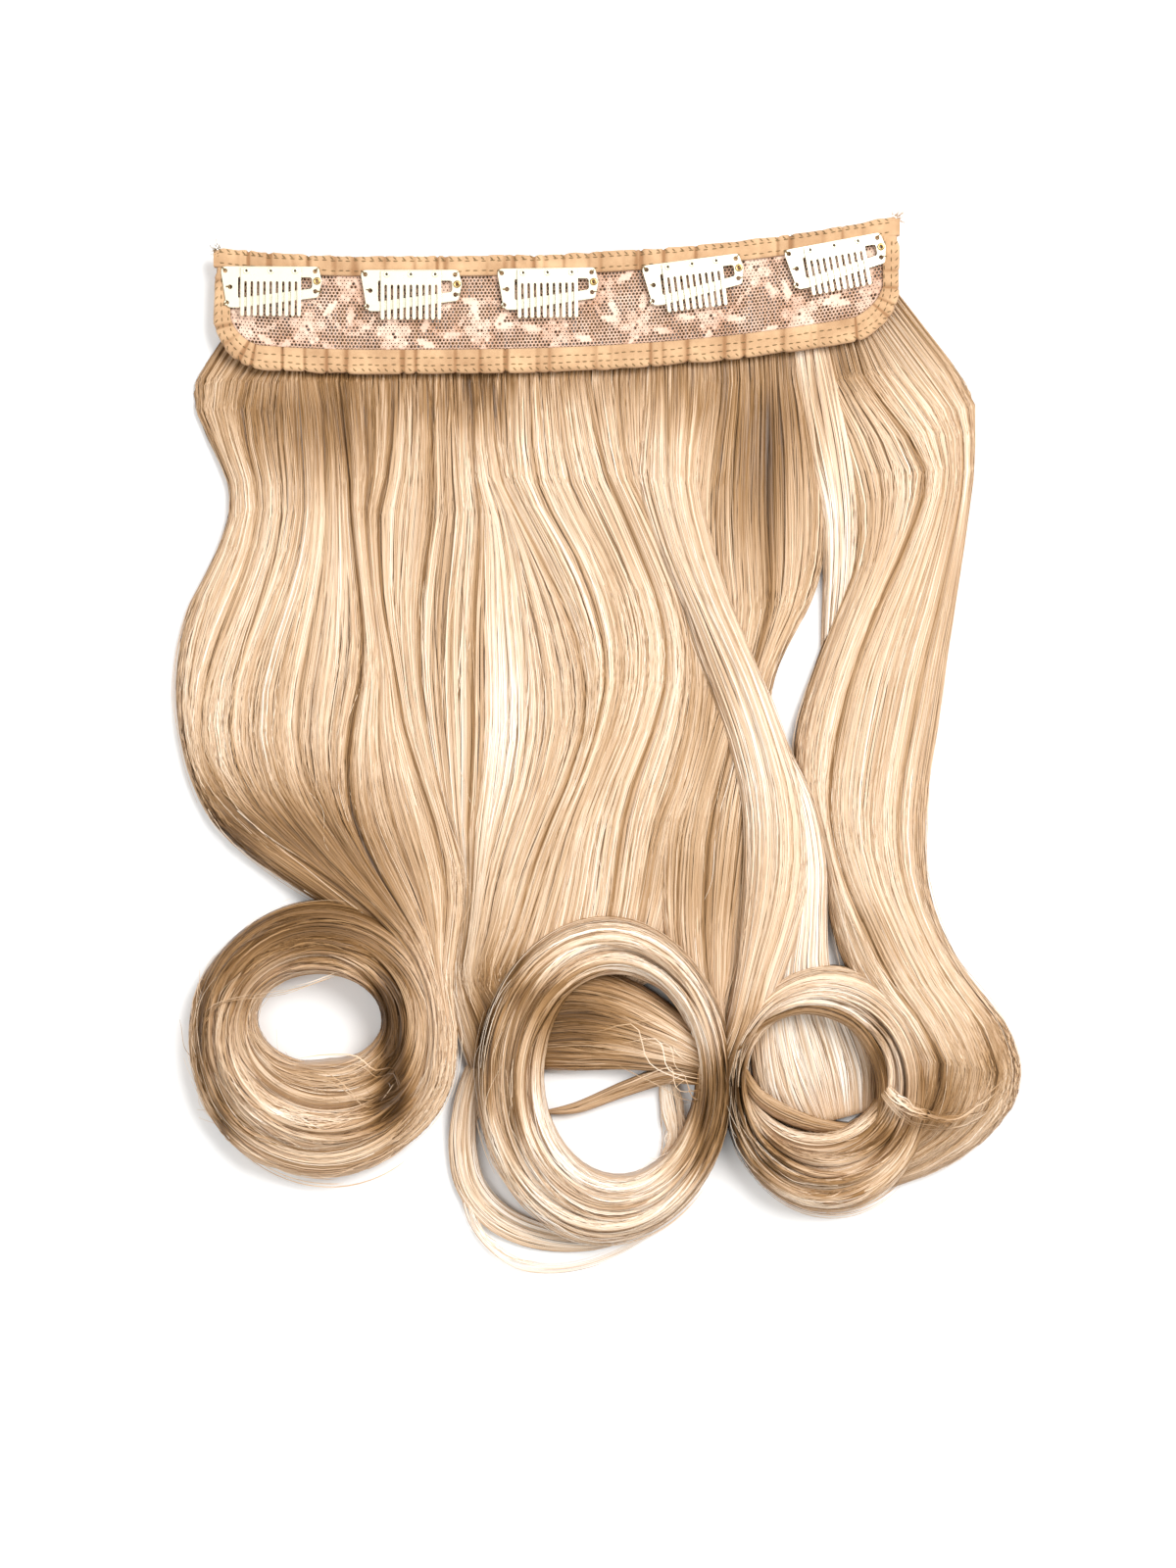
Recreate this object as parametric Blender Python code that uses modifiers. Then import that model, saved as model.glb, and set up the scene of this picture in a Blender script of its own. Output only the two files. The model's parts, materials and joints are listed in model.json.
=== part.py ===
"""Clip-in hair extension: a lace band with five snap clips, and a fall of hair that ends in three curls.

The piece lies flat, clips up. Metres, +Z up. The origin is under the middle of the band, on the plane that the
hair rests on. +X runs along the band and -Y down the hair.
"""

import math

import bmesh
import bpy
from mathutils import Matrix, Vector

# Band
BAND_LENGTH = 0.250
BAND_HEIGHT = 0.043
LOWER_CORNER_RADIUS = 0.017
CORNER_STEPS = 5
LACE_THICKNESS = 0.001
BINDING_WALL = 0.001
TOP_BINDING_WIDTH = 0.0076
LOWER_BINDING_WIDTH = 0.0088
SIDE_BINDING_WIDTH = 0.0062
BINDING_STEP = 0.011
PIECE_GAP = 0.0003
WELD_DISTANCE = 0.000005
LACE_EDGE_GAP = 0.0010
GATHER_DEPTH = 0.0006
GATHER_NOTCH = 0.0012
GATHER_HALF_WIDTH = 0.0014

# The band's bow: it is lowest at this share of its length and rises towards both ends.
BOW_LOW_SHARE = 0.26
BOW_RISE_LEFT = 0.0035
BOW_RISE_RIGHT = 0.0150
BOW_POWER = 2.6
SLOPE_STEP = 0.0005

# Snap clip: a pierced spring plate, a comb riveted along its upper bar, and a brass eyelet in its tail
CLIP_LENGTH = 0.0371
CLIP_HEIGHT = 0.0151
CLIP_TAIL_HEIGHT = 0.0113
CLIP_SLANT = 0.0025
CLIP_CORNER_RADIUS = 0.0022
CLIP_NOSE_CORNER_RADIUS = 0.0015
CLIP_WINDOW_RADIUS = 0.00055
CLIP_NOSE_REACH = 0.0013
CLIP_NOSE_DROP = 0.0053
CLIP_SIDE_WIDTH = 0.0066
CLIP_TAIL_WIDTH = 0.0036
CLIP_BAR_HEIGHT = 0.0040
CLIP_ARM_HEIGHT = 0.0036
CLIP_PLATE_THICKNESS = 0.0005
CLIP_OVER_BINDING = 0.0022
SEWING_HOLE_RADIUS = 0.00050
EYELET_RADIUS = 0.00115
EYELET_BARREL_RADIUS = 0.00075
EYELET_BORE_RADIUS = 0.00040
EYELET_HEAD_HEIGHT = 0.00045

COMB_WIDTH = 0.0221
COMB_INSET = 0.0075
COMB_TOP_INSET = 0.00045
COMB_SPINE_HEIGHT = 0.0051
TOOTH_LENGTH = 0.0128
TOOTH_WIDTH = 0.00145
TOOTH_COUNT = 10
SLOT_CROWN = 0.0003
COMB_THICKNESS = 0.0005
RIVET_RADIUS = 0.0010
RIVET_BORE_RADIUS = 0.00045
RIVET_HEIGHT = 0.0004
RIVET_TOP_INSET = 0.0013
RIVET_SIDE_INSET = 0.0022
ROUND_SIDES = 8

# Hair
HAIR_DROP = 0.348
LOCK_HEIGHT = 0.012
CURL_HEIGHT = 0.030
WEFT_THICKNESS = 0.007
WEFT_INSET = 0.003
SECTION_STEPS = 9
GROOVE_SHARE = 0.12
ARCH_POWER = 0.6
LOCK_SPACING = 0.017
TANGENT_STEP = 0.05
CURL_STEP_DEGREES = 22
CURL_LEAD_DEGREES = 50
CURL_LEAD_SHARE = 0.45

# Sewing holes of the plate, as shares of its length from the left and of its height from the top
SEWING_HOLES = (
    {"along": 0.050, "down": 0.11},
    {"along": 0.100, "down": 0.50},
    {"along": 0.068, "down": 0.88},
    {"along": 0.932, "down": 0.12},
    {"along": 0.935, "down": 0.60},
)

# Clips: the place of each along the band, as a share of its length, and its turn beyond the band's own slope
CLIPS = (
    {"along": 0.084, "turn": 4.0},
    {"along": 0.288, "turn": 0.0},
    {"along": 0.487, "turn": -1.0},
    {"along": 0.700, "turn": 2.2},
    {"along": 0.908, "turn": 0.9},
)

# Gathers of the binding, as shares of the band's length from its left end
LOWER_GATHERS = (0.12, 0.19, 0.39, 0.49, 0.58, 0.68, 0.81, 0.85)
UPPER_GATHERS = (0.08, 0.17, 0.20, 0.41, 0.54, 0.62, 0.79)

# Locks, a row for each section from root to end. "across" is the place of the middle from the band's middle, and
# "half" the half width, both as shares of BAND_LENGTH. "down" is the place below the band's middle as a share of
# HAIR_DROP. "high" is the height as a share of the lock's own height, which is "height" times LOCK_HEIGHT. "lift" is
# how many times PIECE_GAP the lock's underside lies over the rest plane.
LOCKS = {
    "left_lock": {
        "height": 1.167,
        "lift": 1,
        "ridges": 4,
        "sections": (
            {"across": -0.345, "down": 0.015, "half": 0.135, "high": 0.36},
            {"across": -0.352, "down": 0.066, "half": 0.166, "high": 0.42},
            {"across": -0.348, "down": 0.118, "half": 0.166, "high": 0.85},
            {"across": -0.330, "down": 0.180, "half": 0.147, "high": 0.80},
            {"across": -0.340, "down": 0.240, "half": 0.155, "high": 0.90},
            {"across": -0.363, "down": 0.305, "half": 0.174, "high": 1.00},
            {"across": -0.375, "down": 0.385, "half": 0.182, "high": 0.95},
            {"across": -0.368, "down": 0.450, "half": 0.184, "high": 1.00},
            {"across": -0.335, "down": 0.515, "half": 0.170, "high": 1.05},
            {"across": -0.255, "down": 0.580, "half": 0.122, "high": 1.20},
            {"across": -0.205, "down": 0.660, "half": 0.062, "high": 1.60},
            {"across": -0.188, "down": 0.730, "half": 0.040, "high": 1.80},
        ),
    },
    "centre_left_lock": {
        "height": 1.0,
        "lift": 2,
        "ridges": 2,
        "sections": (
            {"across": -0.105, "down": 0.015, "half": 0.085, "high": 0.40},
            {"across": -0.100, "down": 0.066, "half": 0.092, "high": 0.50},
            {"across": -0.098, "down": 0.130, "half": 0.094, "high": 0.95},
            {"across": -0.078, "down": 0.220, "half": 0.112, "high": 0.90},
            {"across": -0.068, "down": 0.305, "half": 0.125, "high": 1.00},
            {"across": -0.066, "down": 0.385, "half": 0.130, "high": 0.90},
            {"across": -0.068, "down": 0.465, "half": 0.115, "high": 1.00},
            {"across": -0.082, "down": 0.550, "half": 0.078, "high": 1.10},
            {"across": -0.100, "down": 0.640, "half": 0.056, "high": 1.10},
            {"across": -0.115, "down": 0.720, "half": 0.040, "high": 1.00},
            {"across": -0.124, "down": 0.800, "half": 0.020, "high": 0.90},
        ),
    },
    "centre_lock": {
        "height": 1.0,
        "lift": 1,
        "ridges": 2,
        "sections": (
            {"across": 0.040, "down": 0.015, "half": 0.070, "high": 0.40},
            {"across": 0.042, "down": 0.064, "half": 0.074, "high": 0.50},
            {"across": 0.050, "down": 0.135, "half": 0.070, "high": 1.00},
            {"across": 0.080, "down": 0.220, "half": 0.066, "high": 0.95},
            {"across": 0.118, "down": 0.305, "half": 0.076, "high": 1.00},
            {"across": 0.142, "down": 0.385, "half": 0.084, "high": 1.00},
            {"across": 0.143, "down": 0.465, "half": 0.102, "high": 1.00},
            {"across": 0.112, "down": 0.550, "half": 0.128, "high": 1.05},
            {"across": 0.082, "down": 0.625, "half": 0.130, "high": 1.05},
            {"across": 0.062, "down": 0.690, "half": 0.085, "high": 0.90},
        ),
    },
    "crossing_lock": {
        "height": 1.417,
        "lift": 2,
        "ridges": 2,
        "sections": (
            {"across": 0.162, "down": 0.010, "half": 0.062, "high": 0.28},
            {"across": 0.163, "down": 0.060, "half": 0.064, "high": 0.36},
            {"across": 0.166, "down": 0.135, "half": 0.064, "high": 0.80},
            {"across": 0.176, "down": 0.215, "half": 0.056, "high": 0.90},
            {"across": 0.210, "down": 0.285, "half": 0.050, "high": 1.00},
            {"across": 0.247, "down": 0.345, "half": 0.048, "high": 1.00},
            {"across": 0.284, "down": 0.405, "half": 0.047, "high": 1.00},
            {"across": 0.303, "down": 0.475, "half": 0.054, "high": 1.00},
            {"across": 0.308, "down": 0.550, "half": 0.066, "high": 1.00},
            {"across": 0.302, "down": 0.620, "half": 0.080, "high": 1.05},
            {"across": 0.290, "down": 0.690, "half": 0.072, "high": 1.15},
            {"across": 0.262, "down": 0.760, "half": 0.040, "high": 1.20},
        ),
    },
    "under_lock": {
        "height": 1.0,
        "lift": 1,
        "ridges": 2,
        "sections": (
            {"across": 0.290, "down": 0.000, "half": 0.075, "high": 0.40},
            {"across": 0.292, "down": 0.052, "half": 0.078, "high": 0.52},
            {"across": 0.312, "down": 0.118, "half": 0.080, "high": 0.95},
            {"across": 0.334, "down": 0.180, "half": 0.094, "high": 1.00},
            {"across": 0.343, "down": 0.235, "half": 0.092, "high": 0.90},
            {"across": 0.333, "down": 0.285, "half": 0.064, "high": 0.85},
            {"across": 0.312, "down": 0.335, "half": 0.032, "high": 0.80},
            {"across": 0.292, "down": 0.395, "half": 0.020, "high": 0.80},
        ),
    },
    "right_lock": {
        "height": 1.167,
        "lift": 3,
        "ridges": 3,
        "sections": (
            {"across": 0.420, "down": -0.030, "half": 0.050, "high": 0.32},
            {"across": 0.455, "down": 0.034, "half": 0.094, "high": 0.38},
            {"across": 0.485, "down": 0.080, "half": 0.114, "high": 0.95},
            {"across": 0.506, "down": 0.140, "half": 0.104, "high": 1.00},
            {"across": 0.518, "down": 0.205, "half": 0.086, "high": 0.90},
            {"across": 0.510, "down": 0.265, "half": 0.082, "high": 1.00},
            {"across": 0.488, "down": 0.325, "half": 0.088, "high": 1.00},
            {"across": 0.464, "down": 0.385, "half": 0.099, "high": 0.95},
            {"across": 0.450, "down": 0.445, "half": 0.096, "high": 1.00},
            {"across": 0.460, "down": 0.510, "half": 0.078, "high": 1.05},
            {"across": 0.470, "down": 0.570, "half": 0.066, "high": 1.05},
            {"across": 0.492, "down": 0.630, "half": 0.062, "high": 1.10},
            {"across": 0.540, "down": 0.690, "half": 0.064, "high": 1.20},
            {"across": 0.590, "down": 0.745, "half": 0.066, "high": 1.30},
            {"across": 0.602, "down": 0.800, "half": 0.062, "high": 1.40},
            {"across": 0.560, "down": 0.855, "half": 0.052, "high": 1.35},
            {"across": 0.480, "down": 0.888, "half": 0.036, "high": 1.10},
            {"across": 0.405, "down": 0.900, "half": 0.014, "high": 0.60},
        ),
    },
    "stray_lock": {
        "height": 0.5,
        "lift": 3,
        "ridges": 1,
        "sections": (
            {"across": -0.122, "down": 0.780, "half": 0.016, "high": 0.90},
            {"across": -0.138, "down": 0.850, "half": 0.016, "high": 0.90},
            {"across": -0.128, "down": 0.910, "half": 0.016, "high": 0.90},
            {"across": -0.075, "down": 0.958, "half": 0.016, "high": 0.90},
            {"across": 0.000, "down": 0.975, "half": 0.014, "high": 0.90},
            {"across": 0.062, "down": 0.955, "half": 0.012, "high": 0.90},
        ),
    },
}

# Curls, each wound clockwise from where its lock comes in. "across" and "down" place the middle, as for the locks.
# The radii are those of the outer turn's middle line, and "half" its half width: "radius_x" and "half" as shares of
# BAND_LENGTH, and "radius_y" of HAIR_DROP. "high" is the height as a share of CURL_HEIGHT. "tight" is the share of the
# radius that is left at the end, and "tip" that of the width and height.
CURLS = {
    "left_curl": {
        "across": -0.342, "down": 0.752, "radius_x": 0.160, "radius_y": 0.119, "half": 0.046, "high": 1.00,
        "start": 62.0, "turns": 1.72, "tight": 0.60, "tip": 0.45,
    },
    "middle_curl": {
        "across": 0.072, "down": 0.796, "radius_x": 0.148, "radius_y": 0.141, "half": 0.042, "high": 0.87,
        "start": 40.0, "turns": 1.20, "tight": 0.78, "tip": 0.55,
    },
    "right_curl": {
        "across": 0.400, "down": 0.806, "radius_x": 0.120, "radius_y": 0.102, "half": 0.038, "high": 0.80,
        "start": -40.0, "turns": 1.15, "tight": 0.80, "tip": 0.55,
    },
}

# The end of the middle curl turns back across its eye.
CURL_END = {
    "height": 1.25,
    "lift": 2,
    "ridges": 1,
    "sections": (
        {"across": 0.232, "down": 0.800, "half": 0.034, "high": 1.00},
        {"across": 0.175, "down": 0.778, "half": 0.038, "high": 0.95},
        {"across": 0.110, "down": 0.765, "half": 0.044, "high": 0.85},
        {"across": 0.035, "down": 0.745, "half": 0.046, "high": 0.70},
        {"across": -0.040, "down": 0.735, "half": 0.030, "high": 0.60},
    ),
}

# Levels over the plane that the hair rests on
BACK_FLAP_LEVEL = WEFT_THICKNESS + PIECE_GAP
LACE_LEVEL = BACK_FLAP_LEVEL + BINDING_WALL + PIECE_GAP
FRONT_FLAP_LEVEL = LACE_LEVEL + LACE_THICKNESS + PIECE_GAP
BAND_TOP_LEVEL = FRONT_FLAP_LEVEL + BINDING_WALL
PLATE_LEVEL = BAND_TOP_LEVEL + PIECE_GAP
COMB_LEVEL = PLATE_LEVEL + CLIP_PLATE_THICKNESS + PIECE_GAP


def clear_scene():
    for thing in list(bpy.data.objects):
        bpy.data.objects.remove(thing)


def new_collection(name):
    collection = bpy.data.collections.new(name)
    bpy.context.scene.collection.children.link(collection)
    return collection


def new_material(name, colour, roughness, metallic=0.0):
    material = bpy.data.materials.new(name)
    material.use_nodes = True
    shader = material.node_tree.nodes["Principled BSDF"]
    shader.inputs["Base Color"].default_value = (*colour, 1.0)
    shader.inputs["Roughness"].default_value = roughness
    shader.inputs["Metallic"].default_value = metallic
    return material


def add_object(name, data, collection, material=None, parent=None):
    thing = bpy.data.objects.new(name, data)
    collection.objects.link(thing)
    if material:
        thing.data.materials.append(material)
    if parent:
        thing.parent = parent
    return thing


def band_rise(x):
    """How far the band's middle line rises at x."""
    low = (BOW_LOW_SHARE - 0.5) * BAND_LENGTH
    if x < low:
        return BOW_RISE_LEFT * ((low - x) / (low + BAND_LENGTH / 2)) ** BOW_POWER
    return BOW_RISE_RIGHT * ((x - low) / (BAND_LENGTH / 2 - low)) ** BOW_POWER


def band_slope(x):
    """The band's slope at x, in radians."""
    return math.atan2(band_rise(x + SLOPE_STEP) - band_rise(x - SLOPE_STEP), 2 * SLOPE_STEP)


def arc(centre, radius, start, end, steps):
    """Points on an arc, angles in degrees."""
    turns = [math.radians(start + (end - start) * i / steps) for i in range(steps + 1)]
    return [(centre[0] + radius * math.cos(a), centre[1] + radius * math.sin(a)) for a in turns]


def circle(centre, radius, sides=ROUND_SIDES):
    return arc(centre, radius, 0, 360 - 360 / sides, sides - 1)


def rounded(corners, steps=2):
    """A closed outline through corners (x, y, radius), each radius limited by half its edges."""
    points = []
    for i, (x, y, radius) in enumerate(corners):
        here = Vector((x, y))
        before = Vector(corners[i - 1][:2]) - here
        after = Vector(corners[(i + 1) % len(corners)][:2]) - here
        half_angle = before.angle(after) / 2
        reach = min(radius / math.tan(half_angle), before.length / 2, after.length / 2)
        first, last = here + before.normalized() * reach, here + after.normalized() * reach
        for k in range(steps + 1):
            t = k / steps
            points.append(tuple((1 - t) ** 2 * first + 2 * t * (1 - t) * here + t**2 * last))
    return points


def stations(start, end, gathers):
    """Places (x, depth of gather) along a straight edge: even steps, with three at each gather."""
    creases = [(share - 0.5) * BAND_LENGTH for share in gathers]
    count = max(2, round((end - start) / BINDING_STEP))
    even = [start + (end - start) * i / count for i in range(count + 1)]
    kept = [x for x in even if x in (start, end) or all(abs(x - c) > 2 * GATHER_HALF_WIDTH for c in creases)]
    places = [(x, 0.0) for x in kept]
    for crease in creases:
        places += [(crease - GATHER_HALF_WIDTH, 0.0), (crease, 1.0), (crease + GATHER_HALF_WIDTH, 0.0)]
    return sorted(places)


def bowed(points):
    return [(x, y + band_rise(x), depth) for x, y, depth in points]


def top_run(inset):
    """The band's upper edge from left to right, moved in by inset. Each row is (x, y, depth of gather)."""
    half = BAND_LENGTH / 2
    return bowed([(x, BAND_HEIGHT / 2 - inset, depth) for x, depth in stations(-half, half, UPPER_GATHERS)])


def lower_run(side_inset, inset, top):
    """The band's edge from the height top on the right, down and round to the same height on the left."""
    half, low = BAND_LENGTH / 2 - side_inset, inset - BAND_HEIGHT / 2
    radius = LOWER_CORNER_RADIUS - (side_inset + inset) / 2
    right, left = (half - radius, low + radius), (radius - half, low + radius)
    straight = BAND_LENGTH / 2 - LOWER_CORNER_RADIUS
    rows = [(half, top, 0.0)]
    rows += [(*p, 0.0) for p in arc(right, radius, 0, -90, CORNER_STEPS)]
    rows += [(x, low, depth) for x, depth in reversed(stations(-straight, straight, LOWER_GATHERS)[1:-1])]
    rows += [(*p, 0.0) for p in arc(left, radius, -90, -180, CORNER_STEPS)]
    rows += [(-half, top, 0.0)]
    return bowed(rows)


def band_outline(inset):
    """The band's closed outline, moved in by inset."""
    half, top = BAND_LENGTH / 2 - inset, BAND_HEIGHT / 2 - inset
    count = max(2, round(2 * half / BINDING_STEP))
    upper = [(half * (2 * i / count - 1), top, 0.0) for i in range(1, count)]
    rows = bowed(upper) + lower_run(inset, inset, top)
    return [(x, y) for x, y, _ in rows]


def prism(name, outlines, level, thickness, collection, material=None, parent=None):
    """A flat piece from closed outlines, the first outside and the rest holes, as a filled 2D curve."""
    curve = bpy.data.curves.new(name, "CURVE")
    curve.dimensions = "2D"
    curve.fill_mode = "BOTH"
    curve.extrude = thickness / 2
    for outline in outlines:
        spline = curve.splines.new("POLY")
        spline.points.add(len(outline) - 1)
        for point, (x, y) in zip(spline.points, outline):
            point.co = (x, y, 0, 1)
        spline.use_cyclic_u = True
    thing = add_object(name, curve, collection, material, parent)
    thing.location.z = level + thickness / 2
    return thing


def meshed(thing, collection):
    """The curve object as a mesh object with its caps welded, under the same name."""
    bpy.context.view_layer.update()
    graph = bpy.context.evaluated_depsgraph_get()
    mesh = bpy.data.meshes.new_from_object(thing.evaluated_get(graph))
    work = bmesh.new()
    work.from_mesh(mesh)
    bmesh.ops.remove_doubles(work, verts=work.verts, dist=WELD_DISTANCE)
    bmesh.ops.recalc_face_normals(work, faces=work.faces)
    work.to_mesh(mesh)
    work.free()
    name, place, parent = thing.name, thing.matrix_local.copy(), thing.parent
    bpy.data.objects.remove(thing)
    made = add_object(name, mesh, collection, parent=parent)
    made.matrix_local = place
    return made


def ring_loft(name, rings, collection, material=None):
    """A solid through rings of points, each with as many points."""
    work = bmesh.new()
    rows = [[work.verts.new(p) for p in ring] for ring in rings]
    for first, second in zip(rows, rows[1:]):
        for i in range(len(first)):
            j = (i + 1) % len(first)
            work.faces.new((first[i], first[j], second[j], second[i]))
    work.faces.new(rows[0])
    work.faces.new(list(reversed(rows[-1])))
    bmesh.ops.recalc_face_normals(work, faces=work.faces)
    mesh = bpy.data.meshes.new(name)
    work.to_mesh(mesh)
    work.free()
    return add_object(name, mesh, collection, material)


def make_lace(collection, material):
    outline = band_outline(BINDING_WALL + LACE_EDGE_GAP)
    return prism("lace_panel", [outline], LACE_LEVEL, LACE_THICKNESS, collection, material)


def make_binding(name, edge, wall, flap, collection, material):
    """A folded tape with a U-shaped section, open inwards, carried along the band's edge and nipped at each gather."""
    rings = []
    for (ex, ey, crease), (wx, wy, _), (fx, fy, _) in zip(edge, wall, flap):
        nip = Vector((fx - ex, fy - ey)).normalized() * GATHER_NOTCH * crease
        ex, ey, wx, wy = ex + nip.x, ey + nip.y, wx + nip.x / 2, wy + nip.y / 2
        top = BAND_TOP_LEVEL - GATHER_DEPTH * crease
        rings.append(
            [
                (ex, ey, BACK_FLAP_LEVEL),
                (ex, ey, top),
                (fx, fy, top),
                (fx, fy, FRONT_FLAP_LEVEL),
                (wx, wy, FRONT_FLAP_LEVEL),
                (wx, wy, BACK_FLAP_LEVEL + BINDING_WALL),
                (fx, fy, BACK_FLAP_LEVEL + BINDING_WALL),
                (fx, fy, BACK_FLAP_LEVEL),
            ]
        )
    return ring_loft(name, rings, collection, material)


def make_bindings(collection, material):
    """One tape along the upper edge, and one round the sides and the lower edge that butts against it."""
    insets = (0.0, BINDING_WALL, TOP_BINDING_WIDTH)
    make_binding("top_binding", *(top_run(inset) for inset in insets), collection, material)
    butt = BAND_HEIGHT / 2 - TOP_BINDING_WIDTH - PIECE_GAP
    insets = ((0.0, 0.0), (BINDING_WALL, BINDING_WALL), (SIDE_BINDING_WIDTH, LOWER_BINDING_WIDTH))
    runs = (lower_run(side, low, butt) for side, low in insets)
    make_binding("lower_binding", *runs, collection, material)


def arm_line(x):
    """The lower edge of the plate's slanting arm at x."""
    heel = Vector((-CLIP_LENGTH / 2 + CLIP_SIDE_WIDTH, -CLIP_HEIGHT / 2))
    tail = Vector((CLIP_LENGTH / 2 - CLIP_NOSE_REACH, CLIP_HEIGHT / 2 - CLIP_TAIL_HEIGHT))
    return heel.y + (tail.y - heel.y) * (x - heel.x) / (tail.x - heel.x)


def eyelet_place():
    return (CLIP_LENGTH / 2 - CLIP_TAIL_WIDTH / 2, CLIP_HEIGHT / 2 - CLIP_NOSE_DROP)


def plate_outlines():
    """The plate's outline, its window, its sewing holes and the hole for the eyelet. The middle is at 0, 0."""
    left, right, top, bottom = -CLIP_LENGTH / 2, CLIP_LENGTH / 2, CLIP_HEIGHT / 2, -CLIP_HEIGHT / 2
    corner, nose_corner, inner = CLIP_CORNER_RADIUS, CLIP_NOSE_CORNER_RADIUS, CLIP_WINDOW_RADIUS
    outside = rounded(
        [
            (left, top, corner),
            (right - CLIP_NOSE_REACH, top, nose_corner),
            (right, top - CLIP_NOSE_DROP, corner),
            (right - CLIP_NOSE_REACH, top - CLIP_TAIL_HEIGHT, nose_corner),
            (left + CLIP_SIDE_WIDTH, bottom, corner),
            (left + CLIP_SLANT, bottom, corner),
        ]
    )
    window_left, window_right = left + CLIP_SIDE_WIDTH, right - CLIP_TAIL_WIDTH
    window_top = top - CLIP_BAR_HEIGHT
    window = rounded(
        [
            (window_left, window_top, inner),
            (window_right, window_top, inner),
            (window_right, arm_line(window_right) + CLIP_ARM_HEIGHT, inner),
            (window_left, arm_line(window_left) + CLIP_ARM_HEIGHT, inner),
        ],
        steps=1,
    )
    holes = [
        circle((left + row["along"] * CLIP_LENGTH, top - row["down"] * CLIP_HEIGHT), SEWING_HOLE_RADIUS, 6)
        for row in SEWING_HOLES
    ]
    return [outside, window, *holes, circle(eyelet_place(), EYELET_BARREL_RADIUS + PIECE_GAP)]


def comb_outline():
    """The comb from above. Its hinge line is y = 0 and its left edge x = 0."""
    pitch = (COMB_WIDTH - TOOTH_WIDTH) / (TOOTH_COUNT - 1)
    slot = pitch - TOOTH_WIDTH
    tip = -COMB_SPINE_HEIGHT - TOOTH_LENGTH

    def crown(i):
        from_middle = 2 * (i + 0.5) / (TOOTH_COUNT - 1) - 1
        return -COMB_SPINE_HEIGHT - SLOT_CROWN * from_middle**2

    points = [(COMB_WIDTH, 0.0), (0.0, 0.0)]
    for i in range(TOOTH_COUNT):
        middle, side = TOOTH_WIDTH / 2 + i * pitch, TOOTH_WIDTH / 2
        if i:
            points.append((middle - side, crown(i - 1) - slot / 2))
        points += [(middle - side, tip + side), (middle, tip), (middle + side, tip + side)]
        if i < TOOTH_COUNT - 1:
            points += [(middle + side, crown(i) - slot / 2), (middle + side + slot / 2, crown(i))]
    return points


def add_rivets(comb, cutters):
    """Three hollow rivets that stand on the comb's spine, fused to it and bored through."""
    top = COMB_THICKNESS + RIVET_HEIGHT
    places = [RIVET_SIDE_INSET, COMB_WIDTH / 2, COMB_WIDTH - RIVET_SIDE_INSET]
    for operation, radius, low, high in (
        ("UNION", RIVET_RADIUS, COMB_THICKNESS / 2, top),
        ("DIFFERENCE", RIVET_BORE_RADIUS, -COMB_THICKNESS, top + COMB_THICKNESS),
    ):
        for x in places:
            tool_mesh = bpy.data.meshes.new("rivet_tool")
            work = bmesh.new()
            at = Matrix.Translation((x, -RIVET_TOP_INSET, (low + high) / 2))
            bmesh.ops.create_cone(
                work, cap_ends=True, segments=ROUND_SIDES, radius1=radius, radius2=radius, depth=high - low, matrix=at
            )
            work.to_mesh(tool_mesh)
            work.free()
            tool = add_object("rivet_tool", tool_mesh, cutters)
            join(comb, tool, operation)


def join(thing, tool, operation):
    """Adds a Boolean to a mesh object and hides its tool."""
    tool.hide_render = True
    tool.display_type = "WIRE"
    modifier = thing.modifiers.new(operation.lower(), "BOOLEAN")
    modifier.operation = operation
    modifier.object = tool
    modifier.solver = "EXACT"


def baked(thing):
    """Applies the modifiers of a mesh object."""
    bpy.context.view_layer.update()
    graph = bpy.context.evaluated_depsgraph_get()
    mesh = bpy.data.meshes.new_from_object(thing.evaluated_get(graph))
    thing.modifiers.clear()
    thing.data = mesh
    return mesh


def make_comb_mesh(cutters):
    blank = prism("comb_blank", [comb_outline()], 0.0, COMB_THICKNESS, cutters)
    comb = meshed(blank, cutters)
    comb.data.transform(Matrix.Translation((0, 0, COMB_THICKNESS / 2)))
    comb.location = (0, 0, 0)
    add_rivets(comb, cutters)
    mesh = baked(comb)
    bpy.data.objects.remove(comb)
    return mesh


def make_plate_mesh(cutters):
    plate = meshed(prism("plate_blank", plate_outlines(), 0.0, CLIP_PLATE_THICKNESS, cutters), cutters)
    mesh = plate.data
    mesh.transform(Matrix.Translation((0, 0, CLIP_PLATE_THICKNESS / 2)))
    bpy.data.objects.remove(plate)
    return mesh


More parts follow.
